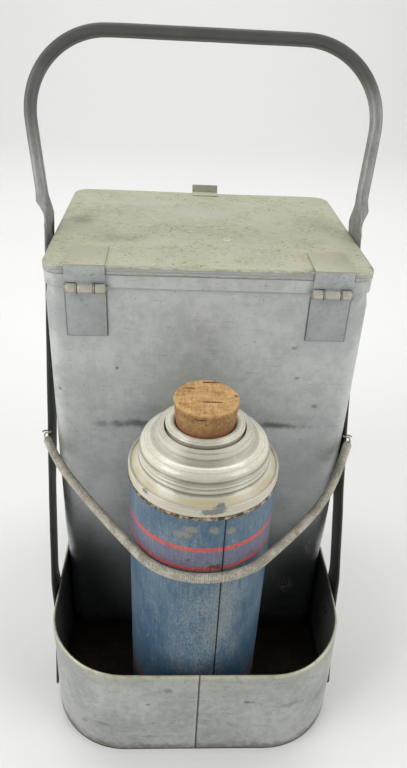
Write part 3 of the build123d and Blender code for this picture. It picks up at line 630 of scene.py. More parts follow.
def shoulderPaint():
    paint = Paint("spunAluminium")
    turnX, turnY = paint.x - bottle["x"], paint.y - bottle["y"]
    cloud, fine = paint.grain(0.012, 4, 0.6, seed=71), paint.grain(0.0016, 4, 0.6, seed=73)
    radius = (turnX * turnX + turnY * turnY) ** 0.5
    rings = paint.rings(radius * 2600 + paint.z * 2300, 2.0, 0.6)
    paint.base((cloud * 0.6 + fine * 0.4).ease(0.38, 0.62), (196, 192, 178), (210, 207, 194))
    paint.lay(rings.ease(0.50, 0.70) * 0.30, 128, 124, 110)
    # broad dark bands round the axis, painted contrast standing in for reflections, and a darker front, a painted dark
    # reflection of the room behind the camera
    bands = paint.rings(radius * 420 + paint.z * 520, 1.0, 0.5)
    darkFrontReflection = ((turnX + 0.002).size() / radius).ease(0.62, 0.18) * turnY.ease(0.0, -0.01)
    paint.lay(bands.ease(0.46, 0.60) * (0.30 + darkFrontReflection * 0.30), 112, 108, 96)
    paint.lay(darkFrontReflection * 0.28, 118, 113, 99)
    # stains on the flange's ledge and side, and scraped blotches at its front
    high, low = shoulder["flangeTop"], shoulder["low"]
    ledge = radius.ease(0.0352, 0.0364) * radius.ease(0.0396, 0.0390)
    paint.lay(ledge * (cloud + fine * 0.4).ease(0.50, 0.80) * 0.75, 180, 168, 132)
    side = radius.ease(0.0392, 0.0398) * paint.z.ease(high + 0.0002, high - 0.0008)
    paint.lay(side * 0.62, 190, 184, 164)
    wobble = (cloud - 0.5) * 1.4 + (fine - 0.5) * 1.4
    blotch = paint.marks(0.3, wobble, (0.0012, -0.0835, high - 0.0022, 0.0078, 0.0020, 1),
                         (0.0058, -0.0830, high - 0.0008, 0.0032, 0.0014, 1))
    blotch = blotch | paint.spotAt((-0.0315, -0.0703, high - 0.001), (0.0022, 0.004, 0.0014), 0.4, wobble)
    blotch = blotch | paint.spotAt((0.0240, -0.0750, high + 0.0012), (0.0008, 0.002, 0.001), 0.4)
    paint.lay(blotch * 0.9, 104, 109, 110)
    # dirt in the grooves, round the neck ring and along the flange's foot
    grooves = (radius - shoulder["ringR"] - 0.0002).size().ease(0.0006, 0.0002)
    for level in (0.1977, 0.2010, 0.2043):
        grooves = grooves | ((paint.z - level).size().ease(0.0005, 0.0001) * 0.45)
    foot = (paint.z + (fine - 0.5) * 0.001).ease(low + 0.0007, low) * side
    paint.lay((grooves | foot) * 0.8, 86, 76, 56)
    rough = 0.05 + cloud * 0.10 + (ledge | side) * 0.24 + blotch * 0.15
    return paint.wear(rough, rings * 0.7 + fine * 0.1, 0.00003, 0.35)


def corkPaint():
    paint = Paint("oldCork")
    cloud = paint.grain(0.0052, 4, 0.65, (1.8, 1, 0.8), 81)
    fine = paint.grain(0.0008, 4, 0.7, (2.2, 1, 1), 83)
    fibre = paint.grain(0.0010, 3, 0.6, (1, 7, 5), 85)
    paint.colour = paint.choose(cloud * 0.40 + fine * 0.35 + fibre * 0.25, (0.38, (122, 86, 46)),
                                (0.5, (164, 128, 80)), (0.62, (196, 162, 112)))
    pit = (paint.cells(0.0030, (1.5, 1, 0.8), 5) + (fine - 0.5) * 0.45).ease(0.17, 0.06)
    crack = paint.grain(0.0030, 3, 0.55, (6.5, 1, 0.55), 87, 0.4).ease(0.665, 0.70)
    high = cork["top"]
    top = paint.z.ease(high - 0.0009, high - 0.0002)
    dark = (pit * (1 - top * 0.85)) | (crack * (1 - top * 0.5))
    # four long cracks across the top
    for x, y, reach in ((0.0016, -0.0490, 0.0062), (-0.0098, -0.0360, 0.0030), (0.0012, -0.0300, 0.0052),
                        (0.0140, -0.0430, 0.0016)):
        dark = dark | (paint.spotAt((x, y, high), (reach, 0.00075, 0.003), 0.35, (fine - 0.5) * 0.4) * top)
    paint.lay(dark * 0.95, 48, 28, 14)
    paint.lay(paint.z.ease(high - 0.0018, high - 0.0034) * 0.42, 104, 72, 42)
    paint.lay(paint.z.ease(0.2235, 0.2195) * 0.45, 136, 74, 42)
    rim = paint.z.ease(high - 0.0021, high - 0.0012) * paint.z.ease(high - 0.0001, high - 0.0006)
    paint.lay(rim * 0.45, 206, 168, 112)
    return paint.wear(0.80 + fine * 0.12, cloud * 0.5 + fine * 0.5 - dark * 1.2, 0.0006, 0.8)


def rubberPaint():
    paint = Paint("darkRubber")
    fine = paint.grain(0.002, 4, 0.6, seed=91)
    paint.base(fine.ease(0.35, 0.65), (30, 29, 28), (52, 49, 45))
    return paint.wear(0.6 + fine * 0.2, fine, 0.0001, 0.4)


def glassPaint():
    paint = Paint("silveredGlass")
    cloud = paint.grain(0.02, 4, 0.6, seed=95)
    paint.base(cloud.ease(0.35, 0.65), (196, 200, 204), (226, 228, 230))
    return paint.wear(0.06 + cloud * 0.08, cloud, 0.0001, 0.2)


paints = dict(
    tray=trayPaint(), floor=floorPaint(), box=boxPaint(), lid=lidPaint(), handle=handlePaint(),
    hardware=hardwarePaint(), spring=springPaint(), casing=casingPaint(), shoulder=shoulderPaint(),
    cork=corkPaint(), rubber=rubberPaint(), glass=glassPaint(),
)
print("materials made:", len(paints))


# floor and backdrop
def addStage():
    front, back, wide = studio["floorFront"], studio["floorBack"], studio["floorWide"]
    stage = begin("floor", bpy.ops.mesh.primitive_plane_add, (wide, back - front, 1), size=1,
                  location=(0, (back + front) / 2, 0))
    edit(stage)
    pick(stage, lambda p, d: p.y > back - 0.01, "EDGE")
    bpy.ops.mesh.extrude_region_move(TRANSFORM_OT_translate={"value": (0, 0, studio["wallHeight"])})
    pick(stage, lambda p, d: p.y > back - 0.01 and p.z < 0.01 and abs(d.y) < 0.01, "EDGE")
    bpy.ops.mesh.bevel(offset=studio["cove"], segments=16, affect="EDGES")
    bpy.ops.object.mode_set(mode="OBJECT")
    bpy.ops.object.shade_smooth()
    paint = Paint("paleBackdrop")
    paint.shader.inputs["Roughness"].default_value = 0.9
    base = studio["floorTone"]
    colour = paint.mix(paint.grain(0.6, 3, 0.5, seed=101).ease(0.3, 0.7), tuple(v * 0.99 for v in base), base)
    paint.tree.links.new(colour.socket, paint.shader.inputs["Base Color"])
    coat(stage, paint.material)
    # the room is dark behind the camera and greyer overhead
    room = Room("room")
    front = room.y.ease(0.15, -0.35) * room.z.ease(0.02, 0.28)
    above = room.z.ease(0.65, 0.95) * (1 - front)
    power = studio["roomPower"]
    power = power - front * (power - studio["roomFront"]) - above * (power - studio["roomAbove"])
    glow = room.tree.nodes["Background"]
    glow.inputs["Color"].default_value = (*studio["roomTone"], 1)
    room.tree.links.new(power.socket, glow.inputs["Strength"])
    bpy.context.scene.world = room.world


addStage()


# walls: a loop pulled along a profile
def outline(name, reach, frontR, backR, z, step, segments):
    # a flat loop with round corners, its long edges cut to about one step
    lowX, highX, lowY, highY = reach
    middle = ((lowX + highX) / 2, (lowY + highY) / 2, z)
    piece = begin(name, bpy.ops.mesh.primitive_plane_add, (highX - lowX, highY - lowY, 1), size=1, location=middle)
    edit(piece)
    for test, radius in ((lambda p, d: p.y < middle[1], frontR), (lambda p, d: p.y > middle[1] + 0.03, backR)):
        pick(piece, test, "VERT")
        bpy.ops.mesh.bevel(offset=radius, offset_type="OFFSET", segments=segments, affect="VERTICES")
    bpy.ops.mesh.select_mode(type="FACE")
    bpy.ops.mesh.select_all(action="SELECT")
    bpy.ops.mesh.delete(type="ONLY_FACE")
    spans = {}
    for edge in bmesh.from_edit_mesh(piece.data).edges:
        length = edge.calc_length()
        if length > 2 * step:
            spans[round(length, 4)] = max(1, round(length / step) - 1)
    for length, cuts in spans.items():
        pick(piece, lambda p, d: abs(d.length - length) < 0.0001, "EDGE")
        bpy.ops.mesh.subdivide(number_cuts=cuts)
    pickAll()
    return piece, middle


def pullWall(points, reach, middle):
    # (inset, height) points, as factors of the loop's width and depth
    halfX, halfY = (reach[1] - reach[0]) / 2, (reach[3] - reach[2]) / 2
    pull([((halfX - inset) / halfX, (halfY - inset) / halfY, high) for inset, high in points], middle)


def closeWall(piece, angle):
    # bridges the two open ends
    pickOpen()
    bpy.ops.mesh.bridge_edge_loops()
    done(piece, angle)


def cutLap(piece, onEdge, onPoint, wide, push, angle):
    # a shallow groove where a sheet's end lies over itself
    edit(piece)
    pick(piece, onEdge, "EDGE")
    bpy.ops.mesh.bevel(offset=wide, segments=2, affect="EDGES")
    pick(piece, onPoint, "VERT")
    bpy.ops.transform.translate(value=push)
    done(piece, angle)


def trayNormal(x, y):
    # the way out of the tray's wall beside a place
    highX, front, back = tray["reach"][1:]
    radius, corner = tray["frontR"], tray["backR"] / 2
    if y > back - corner and abs(x) < highX - corner:
        return Vector((0, 1, 0))
    sideways, ahead = max(0.0, abs(x) - (highX - radius)), max(0.0, front + radius - y)
    return Vector((math.copysign(sideways, x), -ahead, 0)).normalized()


def trayDents(p):
    x, y, z = p
    out = 0.0003 * ripple(x, y, z * 1.5, 0.05, 2) + 0.00012 * ripple(x, y, z, 0.012, 5)
    if y < -0.06:
        out = min(out + lumps(tray["dents"], x, z), 0.0)
    # the rim is pushed in at the right front corner
    out += share(z, 0.025, 0.073) * lumps(tray["rimDent"], x, y)
    way = trayNormal(x, y) * out * share(z, 0.001, 0.011)
    return way.x, way.y, (0.0003 * ripple(x, y, 0, 0.04, 8) - 0.0002) * share(z, 0.05, 0.073)


def addTray():
    low, high, sheet, hem = tray["low"], tray["high"], tray["sheet"], tray["hem"]
    highX, front, back = tray["reach"][1:]
    radius = tray["frontR"]
    piece, middle = outline("trayWall", tray["reach"], radius, tray["backR"], low, 0.004, 18)
    outer = [(0, z) for z in climb(low, high - 0.007, 16)]
    outer += [(0.0002, high - 0.0058), (0, high - 0.0045), (0, high - 0.0012), (0.0003, high - 0.0004)]
    outer += [(0.0007, high), (0.0011, high - 0.0001), (0.0014, high - 0.0005)]
    inner = [(0.0015, high - hem), (0.0013, high - hem - 0.0003), (sheet, high - hem - 0.0006)]
    inner += [(sheet, z) for z in climb(high - hem - 0.003, low, 8)]
    pullWall(outer + inner, tray["reach"], middle)
    closeWall(piece, 40)
    # the lap in the middle of the front, cut into the outer face
    cutLap(piece, lambda p, d: abs(p.x) < 0.0005 and p.y < front + 0.0008 and abs(d.z) > abs(d.x),
           lambda p, n: abs(p.x) < 0.00006 and p.y < front + 0.0008, tray["seam"], (0, tray["seamDepth"], 0), 40)
    # the paint reads which side of the sheet a point is on
    inside = piece.data.attributes.new("inside", "FLOAT", "POINT")
    for n, vertex in enumerate(piece.data.vertices):
        x, y, z = vertex.co
        beside = min(highX - abs(x), back - y, y - front)
        if abs(x) > highX - radius and y < front + radius:
            beside = radius - math.hypot(abs(x) - highX + radius, front + radius - y)
        inside.data[n].value = 1.0 if beside > sheet * 0.6 and z < high - 0.0003 else 0.0
    shift(piece, trayDents)
    settle(piece, "tray", "carrier", "tray_band")


addTray()
print("tray made")

box = dict(
    reach=(-0.087, 0.087, 0.002, 0.145), radius=0.008, sheet=0.0008, low=0.001, high=0.2829,
    bandLow=0.2715, bandOut=0.0008, bandR=0.0088, bulge=0.0015,
    creases=((-0.0016, -0.030, 0.184, 0.035, 0.007, 0, 0.06), (-0.0014, 0.046, 0.183, 0.022, 0.006, 0.1, 0),
             (0.0006, 0, 0.196, 0.070, 0.009, 0, 0), (-0.0007, -0.035, 0.130, 0.040, 0.050, 0, 0),
             (-0.0006, 0.050, 0.140, 0.030, 0.050, 0, 0)))


def boxBulge(x, z):
    # the sides have sprung outwards between the rim band and the tray's rim
    lower = share(z, 0.002, 0.012) * 0.45 + share(z, 0.076, 0.096) * 0.55
    return x / box["reach"][1] * box["bulge"] * share(z, 0.2712, 0.2632) * lower


def boxDents(p):
    # a soft crease across the front at two thirds of its height, and slow waves elsewhere
    x, y, z = p
    calm = min(share(z, 0.268, 0.238), share(z, 0.004, 0.024))
    inner = max(0.0, 1 - (abs(x) / 0.086) ** 6) * calm
    slow = 0.0007 * ripple(x, y, z, 0.07, 1) + 0.00018 * ripple(x, y, z, 0.022, 4)
    if y < 0.0035:
        return boxBulge(x, z), -(slow + lumps(box["creases"], x, z)) * inner, 0
    if y > 0.1435:
        return boxBulge(x, z), (slow - 0.0004) * inner, 0
    return boxBulge(x, z) + math.copysign(0.25, x) * slow * calm * (abs(x) > 0.0855), 0, 0


def bandDents(p):
    ahead = 0.00015 * ripple(p.x, 0, 0, 0.02, 3) if p.y < 0.003 else 0
    return 0, ahead, 0.0002 * ripple(p.x, p.y, 0, 0.03, 6) * (p.z < 0.275)


def addBox():
    sheet, out, low, high = box["sheet"], box["bandOut"], box["bandLow"], box["high"]
    piece, middle = outline("boxWalls", box["reach"], box["radius"], box["radius"], box["low"], 0.004, 8)
    outer = [(0, z) for z in climb(box["low"], high, 70)]
    pullWall(outer + [(sheet, z) for _, z in outer[::-1]], box["reach"], middle)
    closeWall(piece, 40)
    shift(piece, boxDents)
    settle(piece, "box", "carrier", "box_body")

    reach = tuple(v + out * (-1 if n % 2 == 0 else 1) for n, v in enumerate(box["reach"]))
    band, middle = outline("boxRimBand", reach, box["bandR"], box["bandR"], low, 0.004, 8)
    points = softened([(0.00075, low), (0, low + 0.0001), (0, high - 0.0001), (0.00075, high)], 0.0004)
    points[5:5] = [(0, z) for z in climb(low + 0.001, high - 0.001, 6)]
    pullWall(points, reach, middle)
    closeWall(band, 50)
    shift(band, bandDents)
    settle(band, "box", "carrier", "box_rim_band")


addBox()
print("box made")


def lidWarp(p):
    # a low crown, slow waves, a back left corner that stands up and a dented skirt in front
    x, y, z = p
    inner = max(0.0, 1 - (abs(x) / 0.089) ** 4) * max(0.0, 1 - (abs(y - 0.0735) / 0.0735) ** 4)
    rise = 0.0005 * ripple(x, y, 0, 0.045, 2) + 0.0002 * ripple(x, y, 0, 0.015, 7)
    rise += lumps(lid["crown"], x, y) * inner
    rise += max(0.0, y / 0.147) * (lid["cornerRise"] if x < 0 else 0.0) * (abs(x) / 0.089)
    dent = 0.00025 * ripple(x, y, z, 0.012, 9) * share(z, 0.2825, 0.2805) * (y < 0.02)
    return 0, dent, rise * (0.35 + 0.65 * inner)


def addLid():
    top, low, edge = lid["top"], lid["skirt"], lid["edge"]
    piece, middle = outline("lidCover", lid["reach"], lid["radius"], lid["radius"], low, 0.005, 10)
    points = [(0, low), (0, low + 0.0012), (0, low + 0.0025)]
    points += [(edge * (1 - math.cos(a)), top - edge + edge * math.sin(a)) for a in climb(0, math.pi / 2, 5)]
    pullWall(points, lid["reach"], middle)
    bpy.ops.mesh.edge_face_add()
    done(piece, 50)
    edit(piece)
    # the flat top is cut into a grid, so that it can be warped
    for way, cuts in (((1, 0, 0), climb(-0.082, 0.082, 26)), ((0, 1, 0), climb(0.007, 0.140, 22))):
        for cut in cuts:
            pick(piece, lambda p, n: n.z > 0.9 and p.z > top - 0.0002)
            bpy.ops.mesh.bisect(plane_co=(cut, cut, 0), plane_no=way)
    done(piece, 50)
    modify(piece, "SOLIDIFY", thickness=lid["sheet"], offset=-1, use_even_offset=True)
    shift(piece, lidWarp)
    settle(piece, "lid", "lid", "lid_cover")


addLid()
print("lid made")


# pieces that keep the frame's shape, with their edges softened
def dress(node, name, body, paint, edge, segments=2):
    alone(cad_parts[node])
    bpy.ops.object.duplicate()
    piece = bpy.context.object
    piece.name = piece.data.name = name
    for old in list(piece.material_slots):
        old.material = None
    edit(piece)
    bpy.ops.mesh.select_all(action="SELECT")
    bpy.ops.mesh.remove_doubles(threshold=0.000002)
    bpy.ops.mesh.dissolve_limited(angle_limit=math.radians(1))
    bpy.ops.object.mode_set(mode="OBJECT")
    if piece.data.has_custom_normals:
        bpy.ops.mesh.customdata_custom_splitnormals_clear()
    modify(piece, "BEVEL", width=edge, segments=segments, limit_method="ANGLE", angle_limit=math.radians(32))
    bpy.ops.object.shade_smooth_by_angle(angle=math.radians(32))
    settle(piece, paint, body, node)


for side in ("left", "right"):
    label = side.capitalize()
    dress(f"{side}_hinge_lid_leaf", f"hingeLidLeaf{label}", "lid", "hardware", 0.00018)
    dress(f"{side}_hinge_box_leaf", f"hingeBoxLeaf{label}", "carrier", "hardware", 0.00018)
    dress(f"{side}_hinge_pin", f"hingePin{label}", "carrier", "hardware", 0.00035)
dress("lid_catch", "lidCatchPlate", "lid", "lid", 0.0002)
dress("handle_rivets", "handleRivetHeads", "carrier", "handle", 0.0007, 4)
print("hinges, catch and rivets made")


# the handle's line is given as points of (x, distance up the lean), with a radius at each inner corner
handle = dict(
    lean=math.radians(20.2), footY=-0.0447, width=0.0254, sheet=0.0012, across=3, curl=14, step=0.0024,
    rollHigh=0.0066, rollWide=0.0088, rollR=0.0026, seam=0.0005, foldBack=(0.3130, 0.3235), foldFront=(0.3040, 0.3255),
    left=((-0.0911, 0.009), (-0.0912, 0.060), (-0.0940, 0.080), (-0.0946, 0.140), (-0.0941, 0.185), (-0.0940, 0.3100),
          (-0.0957, 0.3250), (-0.1012, 0.3649)),
    bail=((-0.1012, 0.4093), (-0.048, 0.4101), (0.0958, 0.4095)),
    right=((0.0958, 0.3649), (0.0907, 0.3250), (0.0906, 0.3100), (0.0907, 0.175), (0.0925, 0.128), (0.0935, 0.082),
           (0.0912, 0.060), (0.0911, 0.009)),
    legR=(0.04, 0.06, 0.3, 0.3, 0.04, 0.04, 0.036), bailR=(0.0415, 0.8, 0.0415), twist=0.0006)


def handlePoint(x, s, w):
    # x is across, s runs up the lean, w is across the strip
    sine, cosine = math.sin(handle["lean"]), math.cos(handle["lean"])
    return Vector((x, handle["footY"] + s * sine - w * cosine, s * cosine + w * sine))


def filleted(corners, radii, step):
    # points and headings along a line with round corners
    stops = [Vector(c) for c in corners]
    path, last = [], stops[0]

    def run(a, b):
        count = max(1, round((b - a).length / step))
        path.extend((a + (b - a) * n / count, (b - a).normalized()) for n in range(count))

    for before, corner, after, radius in zip(stops, stops[1:], stops[2:], radii):
        into, out = (corner - before).normalized(), (after - corner).normalized()
        turn = into.angle_signed(out)
        cut = radius * math.tan(abs(turn) / 2)
        start = corner - into * cut
        run(last, start)
        sign = -math.copysign(1, turn)
        centre = start + Vector((-into.y, into.x)) * radius * sign
        pieces = max(1, round(abs(turn) * radius / step))
        for k in range(pieces):
            spin = Matrix.Rotation(abs(turn) * k / pieces * sign, 2)
            path.append((centre + spin @ (start - centre), spin @ into))
        last = corner + out * cut
    run(last, stops[-1])
    return path + [(stops[-1], (stops[-1] - last).normalized())]


def stripHalf(fold):
    # (across, out) from the middle of the strip to its edge: flat at 0, curled to a tube at 1
    sheet, width, across, curl = handle["sheet"], handle["width"], handle["across"], handle["curl"]
    mid = handle["rollR"] - sheet / 2
    tall, wide = handle["rollHigh"] - sheet, handle["rollWide"] - sheet
    bend, up, flat = math.pi * mid / 2, tall - 2 * mid, wide / 2 - mid
    rolled = 2 * flat + 2 * bend + up - handle["seam"] / 2
    half = width / 2 + (rolled - width / 2) * fold
    level = half + (flat - half) * fold
    columns = [(x, 0.0) for x in climb(0, level, across)]
    for n in range(1, curl + 1):
        far = (half - level) * n / curl
        if far < bend:
            turn = far / mid
            columns.append((level + mid * math.sin(turn), mid - mid * math.cos(turn)))
        elif far < bend + up:
            columns.append((level + mid, mid + far - bend))
        elif far < 2 * bend + up:
            turn = (far - bend - up) / mid
            columns.append((level + mid * math.cos(turn), mid + up + mid * math.sin(turn)))
        else:
            columns.append((level + 2 * bend + up - far, tall))
    return [(a, b - sheet / 2) for a, b in columns]


def addHandle():
    line = handle["left"] + handle["bail"] + handle["right"]
    path = filleted(line, handle["legR"] + handle["bailR"] + handle["legR"][::-1], handle["step"])
    columns, rows = 2 * (handle["across"] + handle["curl"]) + 1, len(path)
    piece = begin("carryStrip", bpy.ops.mesh.primitive_grid_add, size=1, x_subdivisions=columns - 1,
                  y_subdivisions=rows - 1, location=(0, 0, 0))
    sections = []
    for point, heading in path:
        back, front = (stripHalf(eased(point.y, *handle[name])) for name in ("foldBack", "foldFront"))
        sections.append([(-a, b) for a, b in back[:0:-1]] + front)
    for vertex in piece.data.vertices:
        row = round((vertex.co.y + 0.5) * (rows - 1))
        w, away = sections[row][round((vertex.co.x + 0.5) * (columns - 1))]
        point, heading = path[row]
        beside = Vector((-heading.y, heading.x))
        spot = point + beside * away
        # the straps' back edges stand out a little above the tray
        height = eased(point.y, 0.062, 0.080) * eased(point.y, 0.172, 0.140)
        twist = -height * handle["twist"] * w / (handle["width"] / 2)
        spot += beside * (twist - 0.0003 * abs(ripple(spot.x, spot.y, w, 0.05, 3)))
        vertex.co = handlePoint(spot.x, spot.y, w)
    modify(piece, "SOLIDIFY", thickness=handle["sheet"], offset=0, use_even_offset=True)
    edit(piece)
    done(piece, 40)
    modify(piece, "BEVEL", width=0.00025, segments=2, limit_method="ANGLE", angle_limit=math.radians(50))
    bpy.ops.object.shade_smooth_by_angle(angle=math.radians(40))
    settle(piece, "handle", "carrier", "carry_handle")


addHandle()
print("handle made")

# sway is the side's swing: its power, how far it sags or rises, and how far it bows out
spring = dict(
    outer=0.0055, wire=0.00097, pitch=1.015, points=12, frontZ=0.149, endZ=0.174, endX={-1: 0.0939, 1: 0.0905},
    endY=0.0005, rise=10, sway={-1: (4, 0.0062, 0.0), 1: (2, -0.0044, 0.0026)}, gap=0.0004, join=0.0012,
    hookR=0.0024, hookOut=0.0011, hookEdge=0.0015, hookTurn=262, hookTip=0.0012, strip={-1: 0.0934, 1: 0.0900})


def springRoute():
    # the line of the spring's middle, by the distance along it in plan, and how long that is
    wrapR = bottle["radius"] + spring["gap"] + spring["outer"] / 2
    runs = {}
    for sign in (-1, 1):
        dx, dy = bottle["x"] - sign * spring["endX"][sign], bottle["y"] - spring["endY"]
        far = math.hypot(dx, dy)
        runs[sign] = (math.sqrt(far**2 - wrapR**2), math.atan2(dy, dx) + sign * math.asin(wrapR / far))
    (first, firstWay), (last, lastWay) = runs[-1], runs[1]
    wrap = (lastWay + math.pi - firstWay) % (2 * math.pi) * wrapR
    total = first + wrap + last

    def at(s):
        if first <= s <= first + wrap:
            outwards = firstWay - math.pi / 2 + (s - first) / wrapR
            x, y = bottle["x"] + wrapR * math.cos(outwards), bottle["y"] + wrapR * math.sin(outwards)
        else:
            sign = -1 if s < first else 1
            way, far = runs[sign][1], s if sign < 0 else total - s
            x, y = sign * spring["endX"][sign] + far * math.cos(way), spring["endY"] + far * math.sin(way)
            outwards = way + sign * math.pi / 2
        part = 2 * s / total - 1
        t = min(abs(part), 1.0)
        power, lift, bulge = spring["sway"][1 if part > 0 else -1]
        swell = t**power * (1 - t) * (power + 1) ** (power + 1) / power**power
        z = spring["frontZ"] + (spring["endZ"] - spring["frontZ"]) * t ** spring["rise"] + lift * swell
        return Vector((x + bulge * swell * math.cos(outwards), y + bulge * swell * math.sin(outwards), z))

    return at, total


def springCoil():
    at, total = springRoute()
    coilR = (spring["outer"] - spring["wire"]) / 2
    # the route's real length, so that the turns lie side by side where it climbs too
    marks = climb(0, total, 1200)
    far = [0.0]
    for a, b in zip(marks, marks[1:]):
        far.append(far[-1] + (at(b) - at(a)).length)
    count = round(far[-1] / (spring["wire"] * spring["pitch"])) * spring["points"]
    points, mark = [], 0
    for n in range(count + 1):
        reach = far[-1] * n / count
        while mark < len(marks) - 2 and far[mark + 1] < reach:
            mark += 1
        s = marks[mark] + (marks[mark + 1] - marks[mark]) * min(1.0, (reach - far[mark]) / (far[mark + 1] - far[mark]))
        along = (at(min(s + 0.0004, total)) - at(max(s - 0.0004, 0))).normalized()
        side = along.cross(Vector((0, 0, 1))).normalized()
        angle = 2 * math.pi * n / spring["points"]
        # the last two turns close in towards the hook
        narrow = min(1.0, 0.45 + 0.55 * min(n, count - n) / (2 * spring["points"]))
        turned = side * math.cos(angle) + side.cross(along) * math.sin(angle)
        points.append(at(s) + turned * coilR * narrow)
    return points


def springHook(sign, start, neighbour):
    # from the coil's end to a hook round the strap's edge
    lean, hookR = handle["lean"], spring["hookR"]
    edgeY = handle["footY"] + spring["endZ"] * math.tan(lean) - handle["width"] / 2 / math.cos(lean)
    edge = Vector((sign * spring["strip"][sign], edgeY, spring["endZ"]))
    outwards, into = Vector((sign, 0, 0)), Vector((0, math.cos(lean), -math.sin(lean)))
    inset = spring["hookEdge"] - math.sqrt(hookR**2 - spring["hookOut"] ** 2)
    centre = edge + outwards * spring["hookOut"] - into * inset
    turns = climb(0, math.radians(spring["hookTurn"]), 20)
    hook = [centre - into * hookR * math.cos(a) - outwards * hookR * math.sin(a) for a in turns]
    hook.append(hook[-1] + (into * math.sin(turns[-1]) - outwards * math.cos(turns[-1])) * spring["hookTip"])
    leave = start + (start - neighbour).normalized() * spring["join"]
    arrive = hook[0] + (hook[0] - hook[1]).normalized() * spring["join"]
    return [bezier(start, leave, arrive, hook[0], t) for t in climb(0, 1, 10)[1:-1]] + hook


def addSpring():
    points = springCoil()
    ends = springHook(-1, points[0], points[1]), springHook(1, points[-1], points[-2])
    points = ends[0][::-1] + points + ends[1]
    curve = bpy.data.curves.new("retainingCoil", "CURVE")
    curve.dimensions = "3D"
    line = curve.splines.new("POLY")
    line.points.add(len(points) - 1)
    for spot, point in zip(line.points, points):
        spot.co = (*point, 1)
    curve.bevel_depth, curve.bevel_resolution, curve.use_fill_caps = spring["wire"] / 2, 1, True
    piece = bpy.data.objects.new("retainingCoil", curve)
    bpy.context.scene.collection.objects.link(piece)
    alone(piece)
    bpy.ops.object.convert(target="MESH")
    piece = bpy.context.object
    piece.name = piece.data.name = "retainingCoil"
    bpy.ops.object.shade_smooth_by_angle(angle=math.radians(60))
    settle(piece, "spring", "carrier", "retaining_spring")


addSpring()
print("spring made")


# bottle
def lathe(name, profile, sides, turn=0.0):
    # pulls a circle along a profile of (radius, height) round the bottle's axis
    first, low = profile[0]
    middle = (bottle["x"], bottle["y"], low)
    piece = begin(name, bpy.ops.mesh.primitive_circle_add, vertices=sides, radius=first, location=middle,
                  rotation=(0, 0, turn))
    edit(piece)
    pickAll()
    pull([(radius / first, radius / first, high) for radius, high in profile], middle)
    return piece


def ringOf(middleR, middleZ, wide, high, start, end, count):
    return [(middleR + wide * math.cos(a), middleZ + high * math.sin(a)) for a in climb(start, end, count)]


def casingDents(p):
    x, y = p.x - bottle["x"], p.y - bottle["y"]
    push = 0.00022 * ripple(x, y, p.z * 0.6, 0.02, 5) * min(share(p.z, 0.18, 0.16), share(p.z, 0.004, 0.014))
    return Vector((x, y, 0)).normalized() * push


def addCasing():
    r, sheet, high, foot, beadR = (bottle[key] for key in ("radius", "sheet", "bead", "foot", "beadR"))
    sine, cosine, depth = math.sin(bottle["seam"]), math.cos(bottle["seam"]), bottle["seamDepth"]
    profile = [(r - sheet, foot + 0.0001), (r - 0.0003, foot), (r, foot + 0.0004)]
    profile += [(r, z) for z in climb(0.008, high - 0.003, 34)]
    profile += ringOf(r - 0.0005, high, beadR, beadR, -1.1, 2.6, 8) + [(r - sheet - 0.0002, high - 0.003)]
    profile += [(r - sheet, z) for z in climb(0.17, 0.01, 4)]
    piece = lathe("bottleCasing", profile, 144, bottle["seam"])
    closeWall(piece, 40)

    def onSeam(p):
        x, y = p.x - bottle["x"], p.y - bottle["y"]
        return abs(y * cosine - x * sine) < 0.00006 and x * cosine + y * sine > r - 0.0002 and p.z < high - 0.0018

    cutLap(piece, lambda p, d: onSeam(p) and abs(d.z) > 0.001, lambda p, n: onSeam(p), bottle["seamWide"],
           (-cosine * depth, -sine * depth, 0), 40)
    shift(piece, casingDents)
    settle(piece, "casing", "bottle", "bottle_casing")


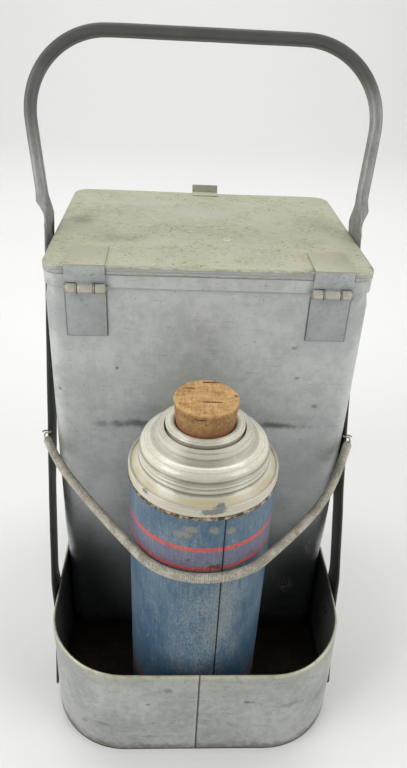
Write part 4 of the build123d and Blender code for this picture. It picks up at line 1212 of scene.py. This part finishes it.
def addShoulder():
    # the values in the order of their dict
    flangeR, low, flangeTop, threadR, threadLow, threadTop, domeTop, collarR, collarTop, ringR = shoulder.values()
    flange = softened([(flangeR - 0.0009, low), (flangeR, low + 0.0001), (flangeR, flangeTop - 0.0005),
                       (flangeR - 0.0005, flangeTop), (0.0392, flangeTop - 0.0001)], 0.0005)
    ledge = softened([flange[-1], (0.0389, flangeTop - 0.0008), (0.0372, flangeTop + 0.0002),
                      (0.0362, flangeTop + 0.0016), (0.0353, threadLow - 0.0010),
                      (threadR + 0.0002, threadLow - 0.0001)], 0.0008)[1:]
    # three round ridges with narrow grooves under them
    threads, high = [], (threadTop - threadLow) / 3
    for n in range(3):
        for t in climb(0, 1, 12)[1:]:
            threads.append((threadR - 0.00070 + 0.00090 * math.sin(math.pi * t) ** 0.6, threadLow + high * (n + t)))
    start = Vector((threads[-1][0], threadTop))
    ends = Vector((collarR + 0.0042, domeTop + 0.0002)), Vector((collarR + 0.0005, domeTop))
    dome = [tuple(bezier(start, start + Vector((0.0004, 0.0034)), *ends, t)) for t in climb(0, 1, 16)[1:]]
    collar = softened([dome[-1], (collarR, domeTop + 0.0003), (collarR - 0.0003, collarTop),
                       (ringR + 0.0004, collarTop - 0.0001), (ringR + 0.0002, collarTop - 0.0012),
                       (collarR - 0.0012, collarTop - 0.0014)], 0.0007, 4)[1:]
    inner = [(collarR - 0.0011, domeTop - 0.0008), (threadR - 0.0022, threadTop - 0.0006),
             (threadR - 0.0022, threadLow), (flangeR - 0.0022, flangeTop - 0.0014), (flangeR - 0.0014, low)]
    piece = lathe("bottleShoulder", flange + ledge + threads + dome + collar + inner, 144)
    closeWall(piece, 30)
    settle(piece, "shoulder", "bottle", "bottle_shoulder")

    # the neck ring: a narrow bead outside, a groove, and a taller bead towards the cork
    low, top = 0.2142, 0.2188
    beads = ringOf(0.0200, low + 0.0026, 0.0009, 0.0010, -0.6, 2.0, 8)
    beads += ringOf(0.0178, top - 0.0013, 0.0019, 0.0013, 0.5, 3.2, 12)
    piece = lathe("neckRing", [(0.0206, low)] + beads + [(0.0159, low + 0.0004), (0.0164, low)], 128)
    closeWall(piece, 40)
    settle(piece, "shoulder", "bottle", "neck_ring")


def corkPits(p):
    x, y = p.x - bottle["x"], p.y - bottle["y"]
    away, radius, top = Vector((x, y, 0)), math.hypot(x, y), cork["top"]
    if away.length < 1e-5:
        return 0, 0, 0
    rough = 0.00022 * ripple(x, y, p.z, 0.004, 3) + 0.00012 * ripple(x, y, p.z, 0.0013, 6)
    dig = max(0.0, ripple(x * 0.6, y, p.z * 1.8, 0.0022, 9) - 0.34) * 0.0016
    if p.z > top - 0.0001 and radius < cork["topR"] - 0.0016:
        return 0, 0, rough * 0.5 - dig * 0.6 + lumps(cork["cracks"], x, y)
    # the knife's flats along the upper edge
    angle = math.atan2(y, x)
    flats = max(0.0, ripple(math.cos(angle), math.sin(angle), 0, 0.55, 7) + 0.1)
    cut = 0.0007 * flats * max(0.0, (p.z - top + 0.0030) / 0.0030)
    away = away.normalized() * ((min(rough, 0.0001) - dig) * share(p.z, 0.2190, 0.2210) - cut)
    return away.x, away.y, -cut * 0.6 * (p.z > top - 0.0013)


def addCork():
    low, lowR, neck, neckR, top, topR = (cork[key] for key in ("low", "lowR", "neck", "neckR", "top", "topR"))
    profile = [(0.0006, low), (0.007, low), (lowR - 0.0008, low), (lowR, low + 0.0008)]
    for z in climb(low + 0.0008, top - 0.0018, 26)[1:]:
        under = lowR + (neckR - lowR) * (z - low) / (neck - low)
        over = neckR + (topR - neckR) * (z - neck) / (top - neck)
        profile.append((under if z < neck else over, z))
    profile += [(topR - 0.0001, top - 0.0011), (topR - 0.0006, top - 0.0004), (topR - 0.0012, top)]
    profile += [(topR * (1 - t) - 0.0012, top) for t in climb(0.05, 0.90, 17)]
    piece = lathe("corkBody", profile, 96)
    pickOpen()
    bpy.ops.mesh.fill_holes(sides=0)
    done(piece, 50)
    shift(piece, corkPits)
    settle(piece, "cork", "stopper", "cork_stopper")


addCasing()
addShoulder()
addCork()
print("bottle made")

# nodes that are kept as they are
for node, paint in (("tray_floor", "floor"), ("box_bottom", "box"), ("casing_bottom_cap", "casing"),
                    ("neck_gasket", "rubber"), ("glass_liner", "glass"), ("liner_base_pad", "rubber")):
    coat(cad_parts[node], paints[paint])

print("finished")
